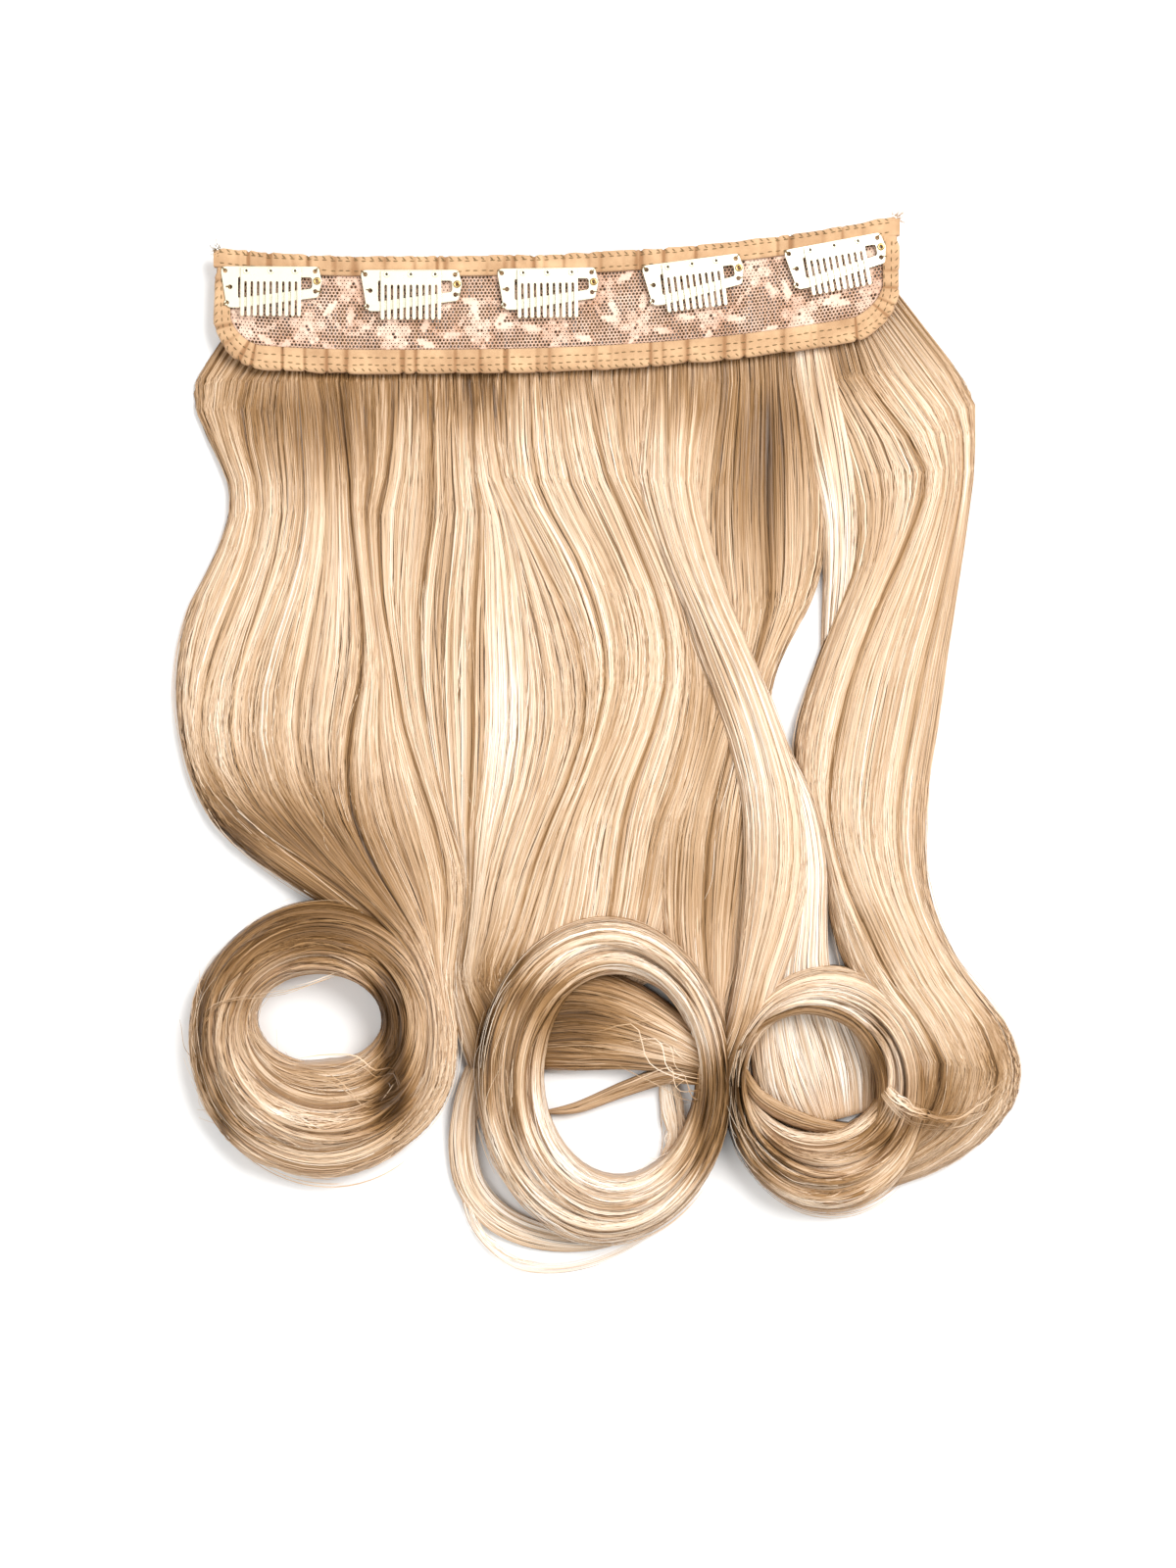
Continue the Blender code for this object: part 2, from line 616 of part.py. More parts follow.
def make_eyelet_mesh(cutters):
    """A turned eyelet: its head lies on the plate and its barrel goes down through it."""
    head = CLIP_PLATE_THICKNESS + PIECE_GAP
    profile = [
        (EYELET_BARREL_RADIUS, head),
        (EYELET_BARREL_RADIUS, 0.0),
        (EYELET_BORE_RADIUS, 0.0),
        (EYELET_BORE_RADIUS, head + EYELET_HEAD_HEIGHT / 2),
        ((EYELET_BORE_RADIUS + EYELET_RADIUS) / 2, head + EYELET_HEAD_HEIGHT),
        (EYELET_RADIUS, head + EYELET_HEAD_HEIGHT / 3),
        (EYELET_RADIUS, head),
    ]
    mesh = bpy.data.meshes.new("eyelet")
    edges = [(i, (i + 1) % len(profile)) for i in range(len(profile))]
    mesh.from_pydata([(r, 0, z) for r, z in profile], edges, [])
    thing = add_object("eyelet_blank", mesh, cutters)
    screw = thing.modifiers.new("turn", "SCREW")
    screw.steps = screw.render_steps = ROUND_SIDES
    screw.use_merge_vertices = True
    screw.merge_threshold = WELD_DISTANCE
    turned = baked(thing)
    bpy.data.objects.remove(thing)
    work = bmesh.new()
    work.from_mesh(turned)
    bmesh.ops.recalc_face_normals(work, faces=work.faces)
    work.to_mesh(turned)
    work.free()
    return turned


def make_clips(collection, cutters, steel, brass):
    """Each clip hangs from an empty at the middle of its plate, and its comb from another on its hinge line."""
    plate, comb, eyelet = make_plate_mesh(cutters), make_comb_mesh(cutters), make_eyelet_mesh(cutters)
    for mesh, material in ((plate, steel), (comb, steel), (eyelet, brass)):
        mesh.materials.clear()
        mesh.materials.append(material)
    for number, row in enumerate(CLIPS, 1):
        x = (row["along"] - 0.5) * BAND_LENGTH
        drop = BAND_HEIGHT / 2 - TOP_BINDING_WIDTH + CLIP_OVER_BINDING - CLIP_HEIGHT / 2
        seat = add_object(f"clip_{number}_seat", None, collection)
        seat.location = (x, band_rise(x) + drop, PLATE_LEVEL)
        seat.rotation_euler.z = band_slope(x) + math.radians(row["turn"])
        add_object(f"clip_{number}_plate", plate, collection, parent=seat)
        add_object(f"clip_{number}_eyelet", eyelet, collection, parent=seat).location = (*eyelet_place(), 0)
        hinge = add_object(f"clip_{number}_hinge", None, collection, parent=seat)
        hinge.location = (
            COMB_INSET - CLIP_LENGTH / 2,
            CLIP_HEIGHT / 2 - COMB_TOP_INSET,
            COMB_LEVEL - PLATE_LEVEL,
        )
        add_object(f"clip_{number}_comb", comb, collection, parent=hinge)


def spline_value(values, t):
    """A Catmull-Rom curve through the values, t from 0 to one less than their number."""
    last = len(values) - 1
    i = min(int(t), last - 1)
    f = t - i
    a, b, c, d = (values[max(0, min(last, k))] for k in (i - 1, i, i + 1, i + 2))
    return 0.5 * (2 * b + (c - a) * f + (2 * a - 5 * b + 4 * c - d) * f**2 + (3 * b - a - 3 * c + d) * f**3)


def arch(middle, side, half, height, base, ridges):
    """A lock's section: flat beneath and domed above, with a shallow groove between each two ridges."""
    steps = SECTION_STEPS if ridges < 2 else max(SECTION_STEPS, 4 * ridges)
    points = []
    for i in range(steps + 1):
        a = math.pi * i / steps
        groove = 1 - GROOVE_SHARE * math.sin(ridges * a) ** 2 if ridges > 1 else 1
        place = middle + side * half * math.cos(a)
        points.append((place.x, place.y, base + height * math.sin(a) ** ARCH_POWER * groove))
    return points


def lock_rings(spec):
    """The sections of a lock along its curved middle line."""
    rows = spec["sections"]
    middles = [Vector((r["across"] * BAND_LENGTH, -r["down"] * HAIR_DROP)) for r in rows]
    length = sum((b - a).length for a, b in zip(middles, middles[1:]))
    count = max(len(rows), round(length / LOCK_SPACING))
    rings = []
    for k in range(count + 1):
        t = (len(rows) - 1) * k / count
        here = spline_value(middles, t)
        before, after = max(t - TANGENT_STEP, 0), min(t + TANGENT_STEP, len(rows) - 1)
        ahead = spline_value(middles, after) - spline_value(middles, before)
        side = Vector((-ahead.y, ahead.x)).normalized()
        i = min(int(t), len(rows) - 2)
        half = spline_value([r["half"] for r in rows], t) * BAND_LENGTH
        low, high = rows[i]["high"], rows[i + 1]["high"]
        height = spec["height"] * LOCK_HEIGHT * (low + (high - low) * (t - i))
        rings.append(arch(here, side, half, height, spec["lift"] * PIECE_GAP, spec["ridges"]))
    return rings


def curl_rings(spec):
    """The sections of a curl, from its outer turn to its tip."""
    middle = Vector((spec["across"] * BAND_LENGTH, -spec["down"] * HAIR_DROP))
    radii = Vector((spec["radius_x"] * BAND_LENGTH, spec["radius_y"] * HAIR_DROP))
    half, high = spec["half"] * BAND_LENGTH, spec["high"] * CURL_HEIGHT
    sweep = 360 * spec["turns"]
    count = round(sweep / CURL_STEP_DEGREES)
    rings = []
    for k in range(count + 1):
        share = k / count
        a = math.radians(spec["start"] - sweep * share)
        close = 1 - (1 - spec["tight"]) * share
        outward = Vector((math.cos(a), math.sin(a)))
        here = middle + radii * outward * close
        thin = 1 - (1 - spec["tip"]) * share
        lead = min(1, CURL_LEAD_SHARE + (1 - CURL_LEAD_SHARE) * sweep * share / CURL_LEAD_DEGREES)
        rings.append(arch(here, outward, half * thin, high * thin * lead, 0.0, 1))
    return rings


def make_hair(collection, cutters, material):
    """The locks and curls fused to the weft that is sewn behind the band."""
    outline = band_outline(WEFT_INSET)
    hair = meshed(prism("hair", [outline], 0.0, WEFT_THICKNESS, collection), collection)
    hair.data.materials.append(material)
    shapes = {name: lock_rings(spec) for name, spec in LOCKS.items()}
    shapes["curl_end"] = lock_rings(CURL_END)
    shapes.update({name: curl_rings(spec) for name, spec in CURLS.items()})
    for name, rings in shapes.items():
        tool = ring_loft(name, rings, cutters)
        join(hair, tool, "UNION")
        hair.modifiers[-1].use_self = name in CURLS
    return hair


def main():
    clear_scene()
    parts = new_collection("hair_extension")
    cutters = new_collection("joining_shapes")
    steel = new_material("cream_steel", (0.87, 0.85, 0.74), 0.35, 0.6)
    brass = new_material("brass", (0.62, 0.48, 0.24), 0.30, 1.0)
    lace = new_material("lace", (0.84, 0.62, 0.52), 0.80)
    tape = new_material("tape", (0.83, 0.62, 0.40), 0.60)
    blonde = new_material("blonde_hair", (0.80, 0.66, 0.47), 0.40)
    make_lace(parts, lace)
    make_bindings(parts, tape)
    make_clips(parts, cutters, steel, brass)
    make_hair(parts, cutters, blonde)


main()
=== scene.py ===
"""The finish of a clip-in hair extension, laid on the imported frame.

Strands of hair follow the flow of each lock, the curls are wound bundle by bundle, the lace is a cut net with a
generic floral ground, the tapes are folded and stitched, and the clips are pressed, riveted and lacquered.
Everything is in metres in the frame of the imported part.
"""

import json
import logging
import math
from dataclasses import dataclass
from enum import Enum

import bpy
import numpy as np
from mathutils import Matrix, Vector


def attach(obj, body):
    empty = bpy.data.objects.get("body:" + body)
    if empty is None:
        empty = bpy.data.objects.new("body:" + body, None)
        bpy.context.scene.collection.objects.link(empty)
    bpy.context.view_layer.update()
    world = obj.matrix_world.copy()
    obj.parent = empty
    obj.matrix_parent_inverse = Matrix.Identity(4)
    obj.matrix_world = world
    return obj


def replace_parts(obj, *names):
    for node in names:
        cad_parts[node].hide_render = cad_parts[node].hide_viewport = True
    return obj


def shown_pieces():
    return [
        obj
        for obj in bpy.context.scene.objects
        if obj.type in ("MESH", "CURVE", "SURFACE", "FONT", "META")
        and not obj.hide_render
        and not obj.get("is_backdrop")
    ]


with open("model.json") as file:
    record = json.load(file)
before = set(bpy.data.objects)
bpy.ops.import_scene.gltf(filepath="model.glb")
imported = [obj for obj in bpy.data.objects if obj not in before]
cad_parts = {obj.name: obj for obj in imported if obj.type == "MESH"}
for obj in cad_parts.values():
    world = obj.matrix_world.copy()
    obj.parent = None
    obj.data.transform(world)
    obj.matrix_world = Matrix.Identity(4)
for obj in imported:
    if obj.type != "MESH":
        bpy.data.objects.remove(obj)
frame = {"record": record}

log = logging.getLogger("hair_extension")

Array = np.ndarray
Material = bpy.types.Material
Socket = bpy.types.NodeSocket
Pair = tuple[float, float]
MeshParts = tuple[Array, Array, dict[str, Array]]

MM = 0.001
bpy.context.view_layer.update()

# Where the photograph puts the frame's origin, and how large one of its pixels is on the band
ORIGIN_PX = (568.0, 321.0)
IMAGE_SIZE_PX = (1200.0, 1600.0)
METRES_PER_PX = 0.250 / 700.0

# Band, repeated from the part's own sizes
BAND_LENGTH = 0.250
BAND_HEIGHT = 0.043
CORNER_RADIUS = 0.017
BOW_LOW_SHARE = 0.26
BOW_RISE_LEFT = 0.0035
BOW_RISE_RIGHT = 0.0150
BOW_POWER = 2.6
BACK_LEVEL = 0.0073
LACE_LEVEL = 0.0092
BAND_TOP_LEVEL = 0.0109
PLATE_THICKNESS = 0.0005
COMB_THICKNESS = 0.0005

# Tapes: how wide the top one is, the lower one at the sides and how much more below, the gap between the two, and the
# distance between points on their edges
TOP_TAPE_WIDTH = 0.0076
SIDE_TAPE_WIDTH = 0.0062
LOWER_TAPE_EXTRA = 0.0026
TAPE_GAP = 0.0003
EDGE_STEP = 0.0009

# Tapes laid flat, and how far from the edge each is sewn
TOP_TAPE_FLAT = (0.251, 0.0178)
LOWER_TAPE_FLAT = (0.291, 0.0196)
TOP_TAPE_ROWS = (0.0021, 0.0058)
LOWER_TAPE_ROWS = (0.0030, 0.0056)

# Hair: the least height of a lock's skin and of a strand, how far the body lies under the skin, how much darker it is
# as painted shade in the gaps between strands, and the palest shade, the limit of painted highlight
SKIN_FLOOR = 0.0003
STRAND_FLOOR = 0.0002
BODY_DEPTH = 0.0005
BODY_SHADE_TONE_DROP = 0.14
BODY_SHADE = 0.08
PALEST_SHADE = -0.4

# The rows at which each flow line of the hair gives its place across, after its root
FLOW_LEVELS_PX = (390, 430, 480, 520, 570, 620, 680, 740, 800, 850, 900, 950, 1000)


class Thread(Enum):
    """Radius of each kind of hair or thread, in metres."""

    BODY = 0.00024
    FLYAWAY = 0.00009
    STITCH = 0.00019


class Side(Enum):
    """Which way a curl is wound, seen from above."""

    CLOCKWISE = -1
    ANTICLOCKWISE = 1


def on_plane(x_px: Array, y_px: Array) -> tuple[Array, Array]:
    """Turns photograph pixels into places on the resting plane.

    Args:
        x_px: Pixels from the left edge.
        y_px: Pixels from the top edge.

    Returns:
        The x and y places in metres.
    """
    return (np.asarray(x_px) - ORIGIN_PX[0]) * METRES_PER_PX, (ORIGIN_PX[1] - np.asarray(y_px)) * METRES_PER_PX


def linear(code: str) -> tuple[float, float, float, float]:
    """Turns a display colour such as F7E9D2 into a linear colour with alpha.

    Args:
        code: Six hexadecimal digits.

    Returns:
        Red, green, blue and alpha.
    """
    parts = [int(code[i : i + 2], 16) / 255 for i in (0, 2, 4)]
    lit = [c / 12.92 if c <= 0.04045 else ((c + 0.055) / 1.055) ** 2.4 for c in parts]
    return (*lit, 1.0)


def spline(rows: Array, share: Array) -> Array:
    """A smooth curve through rows.

    Args:
        rows: Values of shape (count, size).
        share: Places along the rows, 0 to 1.

    Returns:
        Values of the shape of share with the rows' size last.
    """
    last = len(rows) - 1
    place = np.clip(share, 0, 1) * last
    first = np.minimum(place.astype(int), last - 1)
    part = (place - first)[..., None]
    a, b, c, d = (rows[np.clip(first + k, 0, last)] for k in (-1, 0, 1, 2))
    square, cube = part**2, part**3
    return 0.5 * (2 * b + (c - a) * part + (2 * a - 5 * b + 4 * c - d) * square + (3 * b - a - 3 * c + d) * cube)


def drift(rng: np.random.Generator, count: int, steps: int, knots: int) -> Array:
    """Smooth random curves, one for each strand.

    Args:
        rng: The seeded source of chance.
        count: Number of curves.
        steps: Points on each.
        knots: Random values that each curve passes through.

    Returns:
        Values of shape (count, steps), about -1 to 1.
    """
    rows = rng.uniform(-1, 1, (knots, count))
    return spline(rows, np.linspace(0, 1, steps)).T


def mesh_object(
    name: str, points: Array, faces: Array, material: Material, **values: Array
) -> bpy.types.Object:
    """Makes a smooth mesh object from arrays.

    Args:
        name: The object's name.
        points: Corners of shape (count, 3).
        faces: Corner numbers of shape (count, 3 or 4).
        material: The finish.
        **values: A number for each corner, kept as a named attribute.

    Returns:
        The linked object.
    """
    mesh = bpy.data.meshes.new(name)
    sides = faces.shape[1]
    mesh.vertices.add(len(points))
    mesh.vertices.foreach_set("co", points.astype(np.float32).ravel())
    mesh.loops.add(faces.size)
    mesh.loops.foreach_set("vertex_index", faces.astype(np.int32).ravel())
    mesh.polygons.add(len(faces))
    mesh.polygons.foreach_set("loop_start", np.arange(0, faces.size, sides, dtype=np.int32))
    mesh.polygons.foreach_set("loop_total", np.full(len(faces), sides, dtype=np.int32))
    mesh.update(calc_edges=True)
    mesh.polygons.foreach_set("use_smooth", np.ones(len(faces), dtype=bool))
    for label, numbers in values.items():
        layer = mesh.attributes.new(label, "FLOAT", "POINT")
        layer.data.foreach_set("value", numbers.astype(np.float32).ravel())
    mesh.materials.append(material)
    made = bpy.data.objects.new(name, mesh)
    bpy.context.scene.collection.objects.link(made)
    return made


def grid_faces(rows: int, columns: int, wrap: bool, start: int = 0) -> Array:
    """Quads over a grid of corners.

    Args:
        rows: Rows of corners.
        columns: Corners in a row.
        wrap: Whether each row closes on itself.
        start: Number of the first corner.

    Returns:
        Corner numbers of shape (count, 4).
    """
    across = np.arange(columns if wrap else columns - 1)
    down = np.arange(rows - 1)
    r, c = np.meshgrid(down, across, indexing="ij")
    n = (c + 1) % columns
    quads = np.stack([r * columns + c, r * columns + n, (r + 1) * columns + n, (r + 1) * columns + c], axis=-1)
    return quads.reshape(-1, 4) + start


def tubes(paths: Array, radii: Array, sides: int) -> tuple[Array, Array]:
    """Thin tubes along many paths at once.

    Args:
        paths: Points of shape (count, steps, 3).
        radii: Radii of shape (count, steps).
        sides: Sides of each tube.

    Returns:
        Corners of shape (count * steps * sides, 3) and their quads.
    """
    count, steps, _ = paths.shape
    ahead = np.gradient(paths, axis=1)
    ahead /= np.linalg.norm(ahead, axis=2, keepdims=True) + 1e-12
    side = np.cross(ahead, (0.0, 0.0, 1.0))
    side /= np.linalg.norm(side, axis=2, keepdims=True) + 1e-9
    over = np.cross(side, ahead)
    turns = 2 * np.pi * (np.arange(sides) + 0.25) / sides
    ring = side[:, :, None] * np.cos(turns)[:, None] + over[:, :, None] * np.sin(turns)[:, None]
    points = paths[:, :, None] + ring * radii[:, :, None, None]
    one = grid_faces(steps, sides, True)
    faces = one[None] + (np.arange(count) * steps * sides)[:, None, None]
    return points.reshape(-1, 3), faces.reshape(-1, 4)


def ribbons(paths: Array, beside: Array, half: Array, roll: Array) -> tuple[Array, Array]:
    """Narrow ribbons along many paths at once.

    Args:
        paths: Points of shape (count, steps, 3).
        beside: The way sideways on the surface at each point.
        half: Half widths of shape (count, steps).
        roll: How far each ribbon leans about its own line, in radians.

    Returns:
        Corners of shape (count * steps * 2, 3) and their quads.
    """
    count, steps, _ = paths.shape
    ahead = np.gradient(paths, axis=1)
    ahead /= np.linalg.norm(ahead, axis=2, keepdims=True) + 1e-12
    side = beside - ahead * (beside * ahead).sum(axis=2, keepdims=True)
    side /= np.linalg.norm(side, axis=2, keepdims=True) + 1e-12
    over = np.cross(ahead, side)
    lean = side * np.cos(roll)[:, None, None] + over * np.sin(roll)[:, None, None]
    reach = lean * half[..., None]
    points = np.stack([paths - reach, paths + reach], axis=2)
    points[..., 2] = np.maximum(points[..., 2], STRAND_FLOOR)
    one = grid_faces(steps, 2, False)
    faces = one[None] + (np.arange(count) * steps * 2)[:, None, None]
    return points.reshape(-1, 3), faces.reshape(-1, 4)


def ride_band(piece: bpy.types.Object) -> bpy.types.Object:
    """Fixes a piece to the band's body.

    Args:
        piece: The piece.

    Returns:
        The piece.
    """
    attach(piece, "band")
    log.info("%s: %d faces", piece.name, len(piece.data.polygons))
    return piece


class Nodes:
    """A short way to write a shader's nodes."""

    def __init__(self, tree: bpy.types.NodeTree) -> None:
        """Keeps the tree.

        Args:
            tree: A material's or a group's node tree.
        """
        self.tree = tree

    def add(self, kind: str, inputs: dict | None = None, **settings: object) -> bpy.types.Node:
        """Adds a node.

        Args:
            kind: The node's type after ShaderNode.
            inputs: Values or sockets by input name or number.
            **settings: The node's own properties.

        Returns:
            The node.
        """
        node = self.tree.nodes.new(kind if kind.startswith("Node") else f"ShaderNode{kind}")
        for label, value in settings.items():
            setattr(node, label, value)
        self.lead(node, inputs or {})
        return node

    def lead(self, node: bpy.types.Node, inputs: dict) -> None:
        """Leads values and sockets into a node.

        Args:
            node: The node.
            inputs: Values or sockets by input name or number.
        """
        for label, value in inputs.items():
            if isinstance(value, Socket):
                self.tree.links.new(value, node.inputs[label])
            else:
                node.inputs[label].default_value = value

    def sum(self, operation: str, first: object, second: object = 0.0, clamp: bool = False) -> Socket:
        """Adds a sum of two numbers.

        Args:
            operation: A Math operation.
            first: A number or a socket.
            second: A number or a socket.
            clamp: Whether the result stays within 0 and 1.

        Returns:
            The result's socket.
        """
        return self.add("Math", {0: first, 1: second}, operation=operation, use_clamp=clamp).outputs[0]

    def blend(self, share: object, first: object, second: object, mode: str = "MIX") -> Socket:
        """Mixes two colours.

        Args:
            share: How much of the second, as a number or a socket.
            first: The first colour or socket.
            second: The second colour or socket.
            mode: The way to mix.

        Returns:
            The colour's socket.
        """
        node = self.add("Mix", data_type="RGBA", blend_type=mode, clamp_factor=True)
        self.lead(node, {0: share, 6: first, 7: second})
        return node.outputs[2]

    def ramp(self, share: Socket, stops: tuple[tuple[float, str], ...]) -> Socket:
        """Turns a number into a colour.

        Args:
            share: The number, 0 to 1.
            stops: Places and display colours.

        Returns:
            The colour's socket.
        """
        node = self.add("ValToRGB", {"Fac": share})
        band = node.color_ramp
        while len(band.elements) < len(stops):
            band.elements.new(0.5)
        for element, (place, code) in zip(band.elements, stops):
            element.position = place
            element.color = linear(code)
        return node.outputs["Color"]


def new_group(name: str, takes: dict[str, tuple[str, object]], gives: dict[str, str]) -> tuple[Nodes, object, object]:
    """Starts a shader node group.

    Args:
        name: The group's name.
        takes: Socket type and default by input name.
        gives: Socket type by output name.

    Returns:
        The group's node writer, its input node and its output node.
    """
    tree = bpy.data.node_groups.new(name, "ShaderNodeTree")
    for label, (kind, value) in takes.items():
        socket = tree.interface.new_socket(label, in_out="INPUT", socket_type=kind)
        if value is not None:
            socket.default_value = value
    for label, kind in gives.items():
        tree.interface.new_socket(label, in_out="OUTPUT", socket_type=kind)
    nodes = Nodes(tree)
    return nodes, nodes.add("NodeGroupInput"), nodes.add("NodeGroupOutput")


FLOAT, VECTOR = "NodeSocketFloat", "NodeSocketVector"

# Streaks: waves in each metre along, the slower waves' shares of the fine ones' pace, the weight of each in the tone,
# and how strongly they change it
STREAKS_ALONG = 9.0
SLOW_ACROSS, SLOW_ALONG = 0.13, 0.6
FINE_WEIGHT, SLOW_WEIGHT = 0.6, 0.4
STREAK_GAIN = 3.0

# Weave: worn patches and puckers in each metre
PATCHES_PER_METRE = 90.0
PUCKERS_PER_METRE = 260.0

# Handling marks in each metre, and where the marks and the painted shade on the edges start and how fast they grow
MARKS_PER_METRE = 240.0
MARKS_FROM, MARKS_GAIN = 0.42, 2.2
EDGE_SHADE_FROM, EDGE_SHADE_GAIN = 0.53, 6.0


def streak_group() -> bpy.types.NodeTree:
    """The group that breaks a lock into fine strands of differing tone.

    Returns:
        A group with a tone and a height.
    """
    takes = {
        "Tone": (FLOAT, 0.5),
        "Across": (FLOAT, 0.0),
        "Along": (FLOAT, 0.0),
        "Strands per Metre": (FLOAT, 1500.0),
        "Spread": (FLOAT, 0.5),
    }
    nodes, given, made = new_group("strand_streaks", takes, {"Tone": FLOAT, "Height": FLOAT})
    take = given.outputs
    across = nodes.sum("MULTIPLY", take["Across"], take["Strands per Metre"])
    along = nodes.sum("MULTIPLY", take["Along"], STREAKS_ALONG)
    slower = (nodes.sum("MULTIPLY", across, SLOW_ACROSS), nodes.sum("MULTIPLY", along, SLOW_ALONG))
    noises = []
    for x, y in ((across, along), slower):
        place = nodes.add("CombineXYZ", {"X": x, "Y": y}).outputs[0]
        noises.append(nodes.add("TexNoise", {"Vector": place, "Scale": 1.0, "Detail": 2.0}).outputs[0])
    fine, slow = noises
    both = nodes.sum("ADD", nodes.sum("MULTIPLY", fine, FINE_WEIGHT), nodes.sum("MULTIPLY", slow, SLOW_WEIGHT))
    away = nodes.sum("MULTIPLY", nodes.sum("SUBTRACT", both, 0.5), take["Spread"])
    tone = nodes.sum("ADD", take["Tone"], nodes.sum("MULTIPLY", away, STREAK_GAIN), clamp=True)
    nodes.lead(made, {"Tone": tone, "Height": fine})
    return nodes.tree


def weave_group() -> bpy.types.NodeTree:
    """The group that draws a plain weave with slubs and puckers.

    Returns:
        A group with a mask of the threads, a mask of worn patches and a height.
    """
    takes = {
        "Vector": (VECTOR, None),
        "Threads per Metre": (FLOAT, 3000.0),
        "Slub": (FLOAT, 0.3),
        "Pucker": (FLOAT, 1.0),
    }
    nodes, given, made = new_group("plain_weave", takes, {"Threads": FLOAT, "Height": FLOAT, "Patches": FLOAT})
    take = given.outputs
    scaled = nodes.add("VectorMath", {0: take["Vector"], "Scale": take["Threads per Metre"]}, operation="SCALE")
    split = nodes.add("SeparateXYZ", {0: scaled.outputs[0]})
    waves = [nodes.sum("SINE", nodes.sum("MULTIPLY", split.outputs[i], math.pi)) for i in (0, 1)]
    threads = nodes.sum("ABSOLUTE", nodes.sum("MULTIPLY", waves[0], waves[1]))
    patches = nodes.add("TexNoise", {"Vector": take["Vector"], "Scale": PATCHES_PER_METRE, "Detail": 5.0})
    slub = nodes.sum("MULTIPLY", patches.outputs[0], take["Slub"])
    puckers = nodes.add("TexNoise", {"Vector": take["Vector"], "Scale": PUCKERS_PER_METRE, "Detail": 2.0})
    raised = nodes.sum("MULTIPLY", puckers.outputs[0], take["Pucker"])
    height = nodes.sum("ADD", nodes.sum("ADD", threads, slub), raised)
    nodes.lead(made, {"Threads": threads, "Height": height, "Patches": patches.outputs[0]})
    return nodes.tree


def marks_and_edge_shade_group() -> bpy.types.NodeTree:
    """The group that marks metal where hands have touched it, and paints shade on its pointy edges.

    Returns:
        A group with a mask of the marks, a mask of painted shade on the edges and a height.
    """
    takes = {"Vector": (VECTOR, None), "Pointiness": (FLOAT, 0.5)}
    nodes, given, made = new_group("metal_marks_and_edge_shade", takes, {"Marks": FLOAT, "Edge Shade": FLOAT, "Height": FLOAT})
    take = given.outputs
    looks = {"Vector": take["Vector"], "Scale": MARKS_PER_METRE, "Detail": 5.0, "Roughness": 0.6}
    cloud = nodes.add("TexNoise", looks).outputs[0]
    marks = nodes.sum("MULTIPLY", nodes.sum("SUBTRACT", cloud, MARKS_FROM), MARKS_GAIN, clamp=True)
    shaded_edges = nodes.sum("MULTIPLY", nodes.sum("SUBTRACT", take["Pointiness"], EDGE_SHADE_FROM), EDGE_SHADE_GAIN, clamp=True)
    nodes.lead(made, {"Marks": marks, "Edge Shade": shaded_edges, "Height": cloud})
    return nodes.tree


class Finishes:
    """The shared node groups, each built once."""

    def __init__(self) -> None:
        """Builds the groups."""
        self.streaks = streak_group()
        self.weave = weave_group()
        self.marks_and_edge_shade = marks_and_edge_shade_group()


def new_material(name: str) -> tuple[Material, Nodes, bpy.types.Node]:
    """Starts a material.

    Args:
        name: The material's name.

    Returns:
        The material, its node writer and its main shader.
    """
    material = bpy.data.materials.new(name)
    material.use_nodes = True
    nodes = Nodes(material.node_tree)
    return material, nodes, material.node_tree.nodes["Principled BSDF"]


def attribute(nodes: Nodes, label: str) -> Socket:
    """The socket of a mesh attribute.

    Args:
        nodes: The material's node writer.
        label: The attribute's name.

    Returns:
        Its value's socket.
    """
    return nodes.add("Attribute", attribute_name=label).outputs["Fac"]


def relief(nodes: Nodes, height: Socket, strength: float, reach: float) -> Socket:
    """The normal of a fine relief.

    Args:
        nodes: The material's node writer.
        height: The relief's height.
        strength: How strongly it shows.
        reach: Its depth in metres.

    Returns:
        The normal's socket.
    """
    return nodes.add("Bump", {"Height": height, "Strength": strength, "Distance": reach}).outputs[0]


@dataclass(frozen=True)
class HairFinish:
    """Glossy blonde hair with darker and paler strands, and painted shade and highlight from its shade attribute."""

    name: str = "blonde_strands"
    roughness: float = 0.36
    spread: float = 0.22
    shade_depth: float = 0.85
    strands_per_metre: float = 4200.0
    gloss_swing: float = 0.16
    bump: float = 0.35
    bump_reach: float = 0.0003
    specular: float = 0.30
    stops: tuple[tuple[float, str], ...] = (
        (0.0, "2A1A0A"),
        (0.20, "6E4E2C"),
        (0.42, "A27B50"),
        (0.66, "D0AF8C"),
        (0.84, "EAD2B6"),
        (1.0, "FBF2E6"),
    )

    def build(self, finishes: Finishes) -> Material:
        """Builds the material.

        Args:
            finishes: The shared groups.

        Returns:
            The material.
        """
        material, nodes, shader = new_material(self.name)
        given = {label.capitalize(): attribute(nodes, label) for label in ("tone", "across", "along")}
        given |= {"Strands per Metre": self.strands_per_metre, "Spread": self.spread}
        streaks = nodes.add("Group", node_tree=finishes.streaks)
        nodes.lead(streaks, given)
        # The shade attribute darkens the base colour as painted shade, and lightens it as painted highlight below 0
        kept = nodes.sum("SUBTRACT", 1.0, nodes.sum("MULTIPLY", attribute(nodes, "shade"), self.shade_depth))
        dimmed = nodes.sum("MULTIPLY", streaks.outputs["Tone"], kept, clamp=True)
        height = streaks.outputs["Height"]
        rough = nodes.sum("MULTIPLY", height, self.gloss_swing)
        looks = {
            "Base Color": nodes.ramp(dimmed, self.stops),
            "Roughness": nodes.sum("ADD", rough, self.roughness - self.gloss_swing / 2),
            "Normal": relief(nodes, height, self.bump, self.bump_reach),
            "Specular IOR Level": self.specular,
        }
        nodes.lead(shader, looks)
        return material


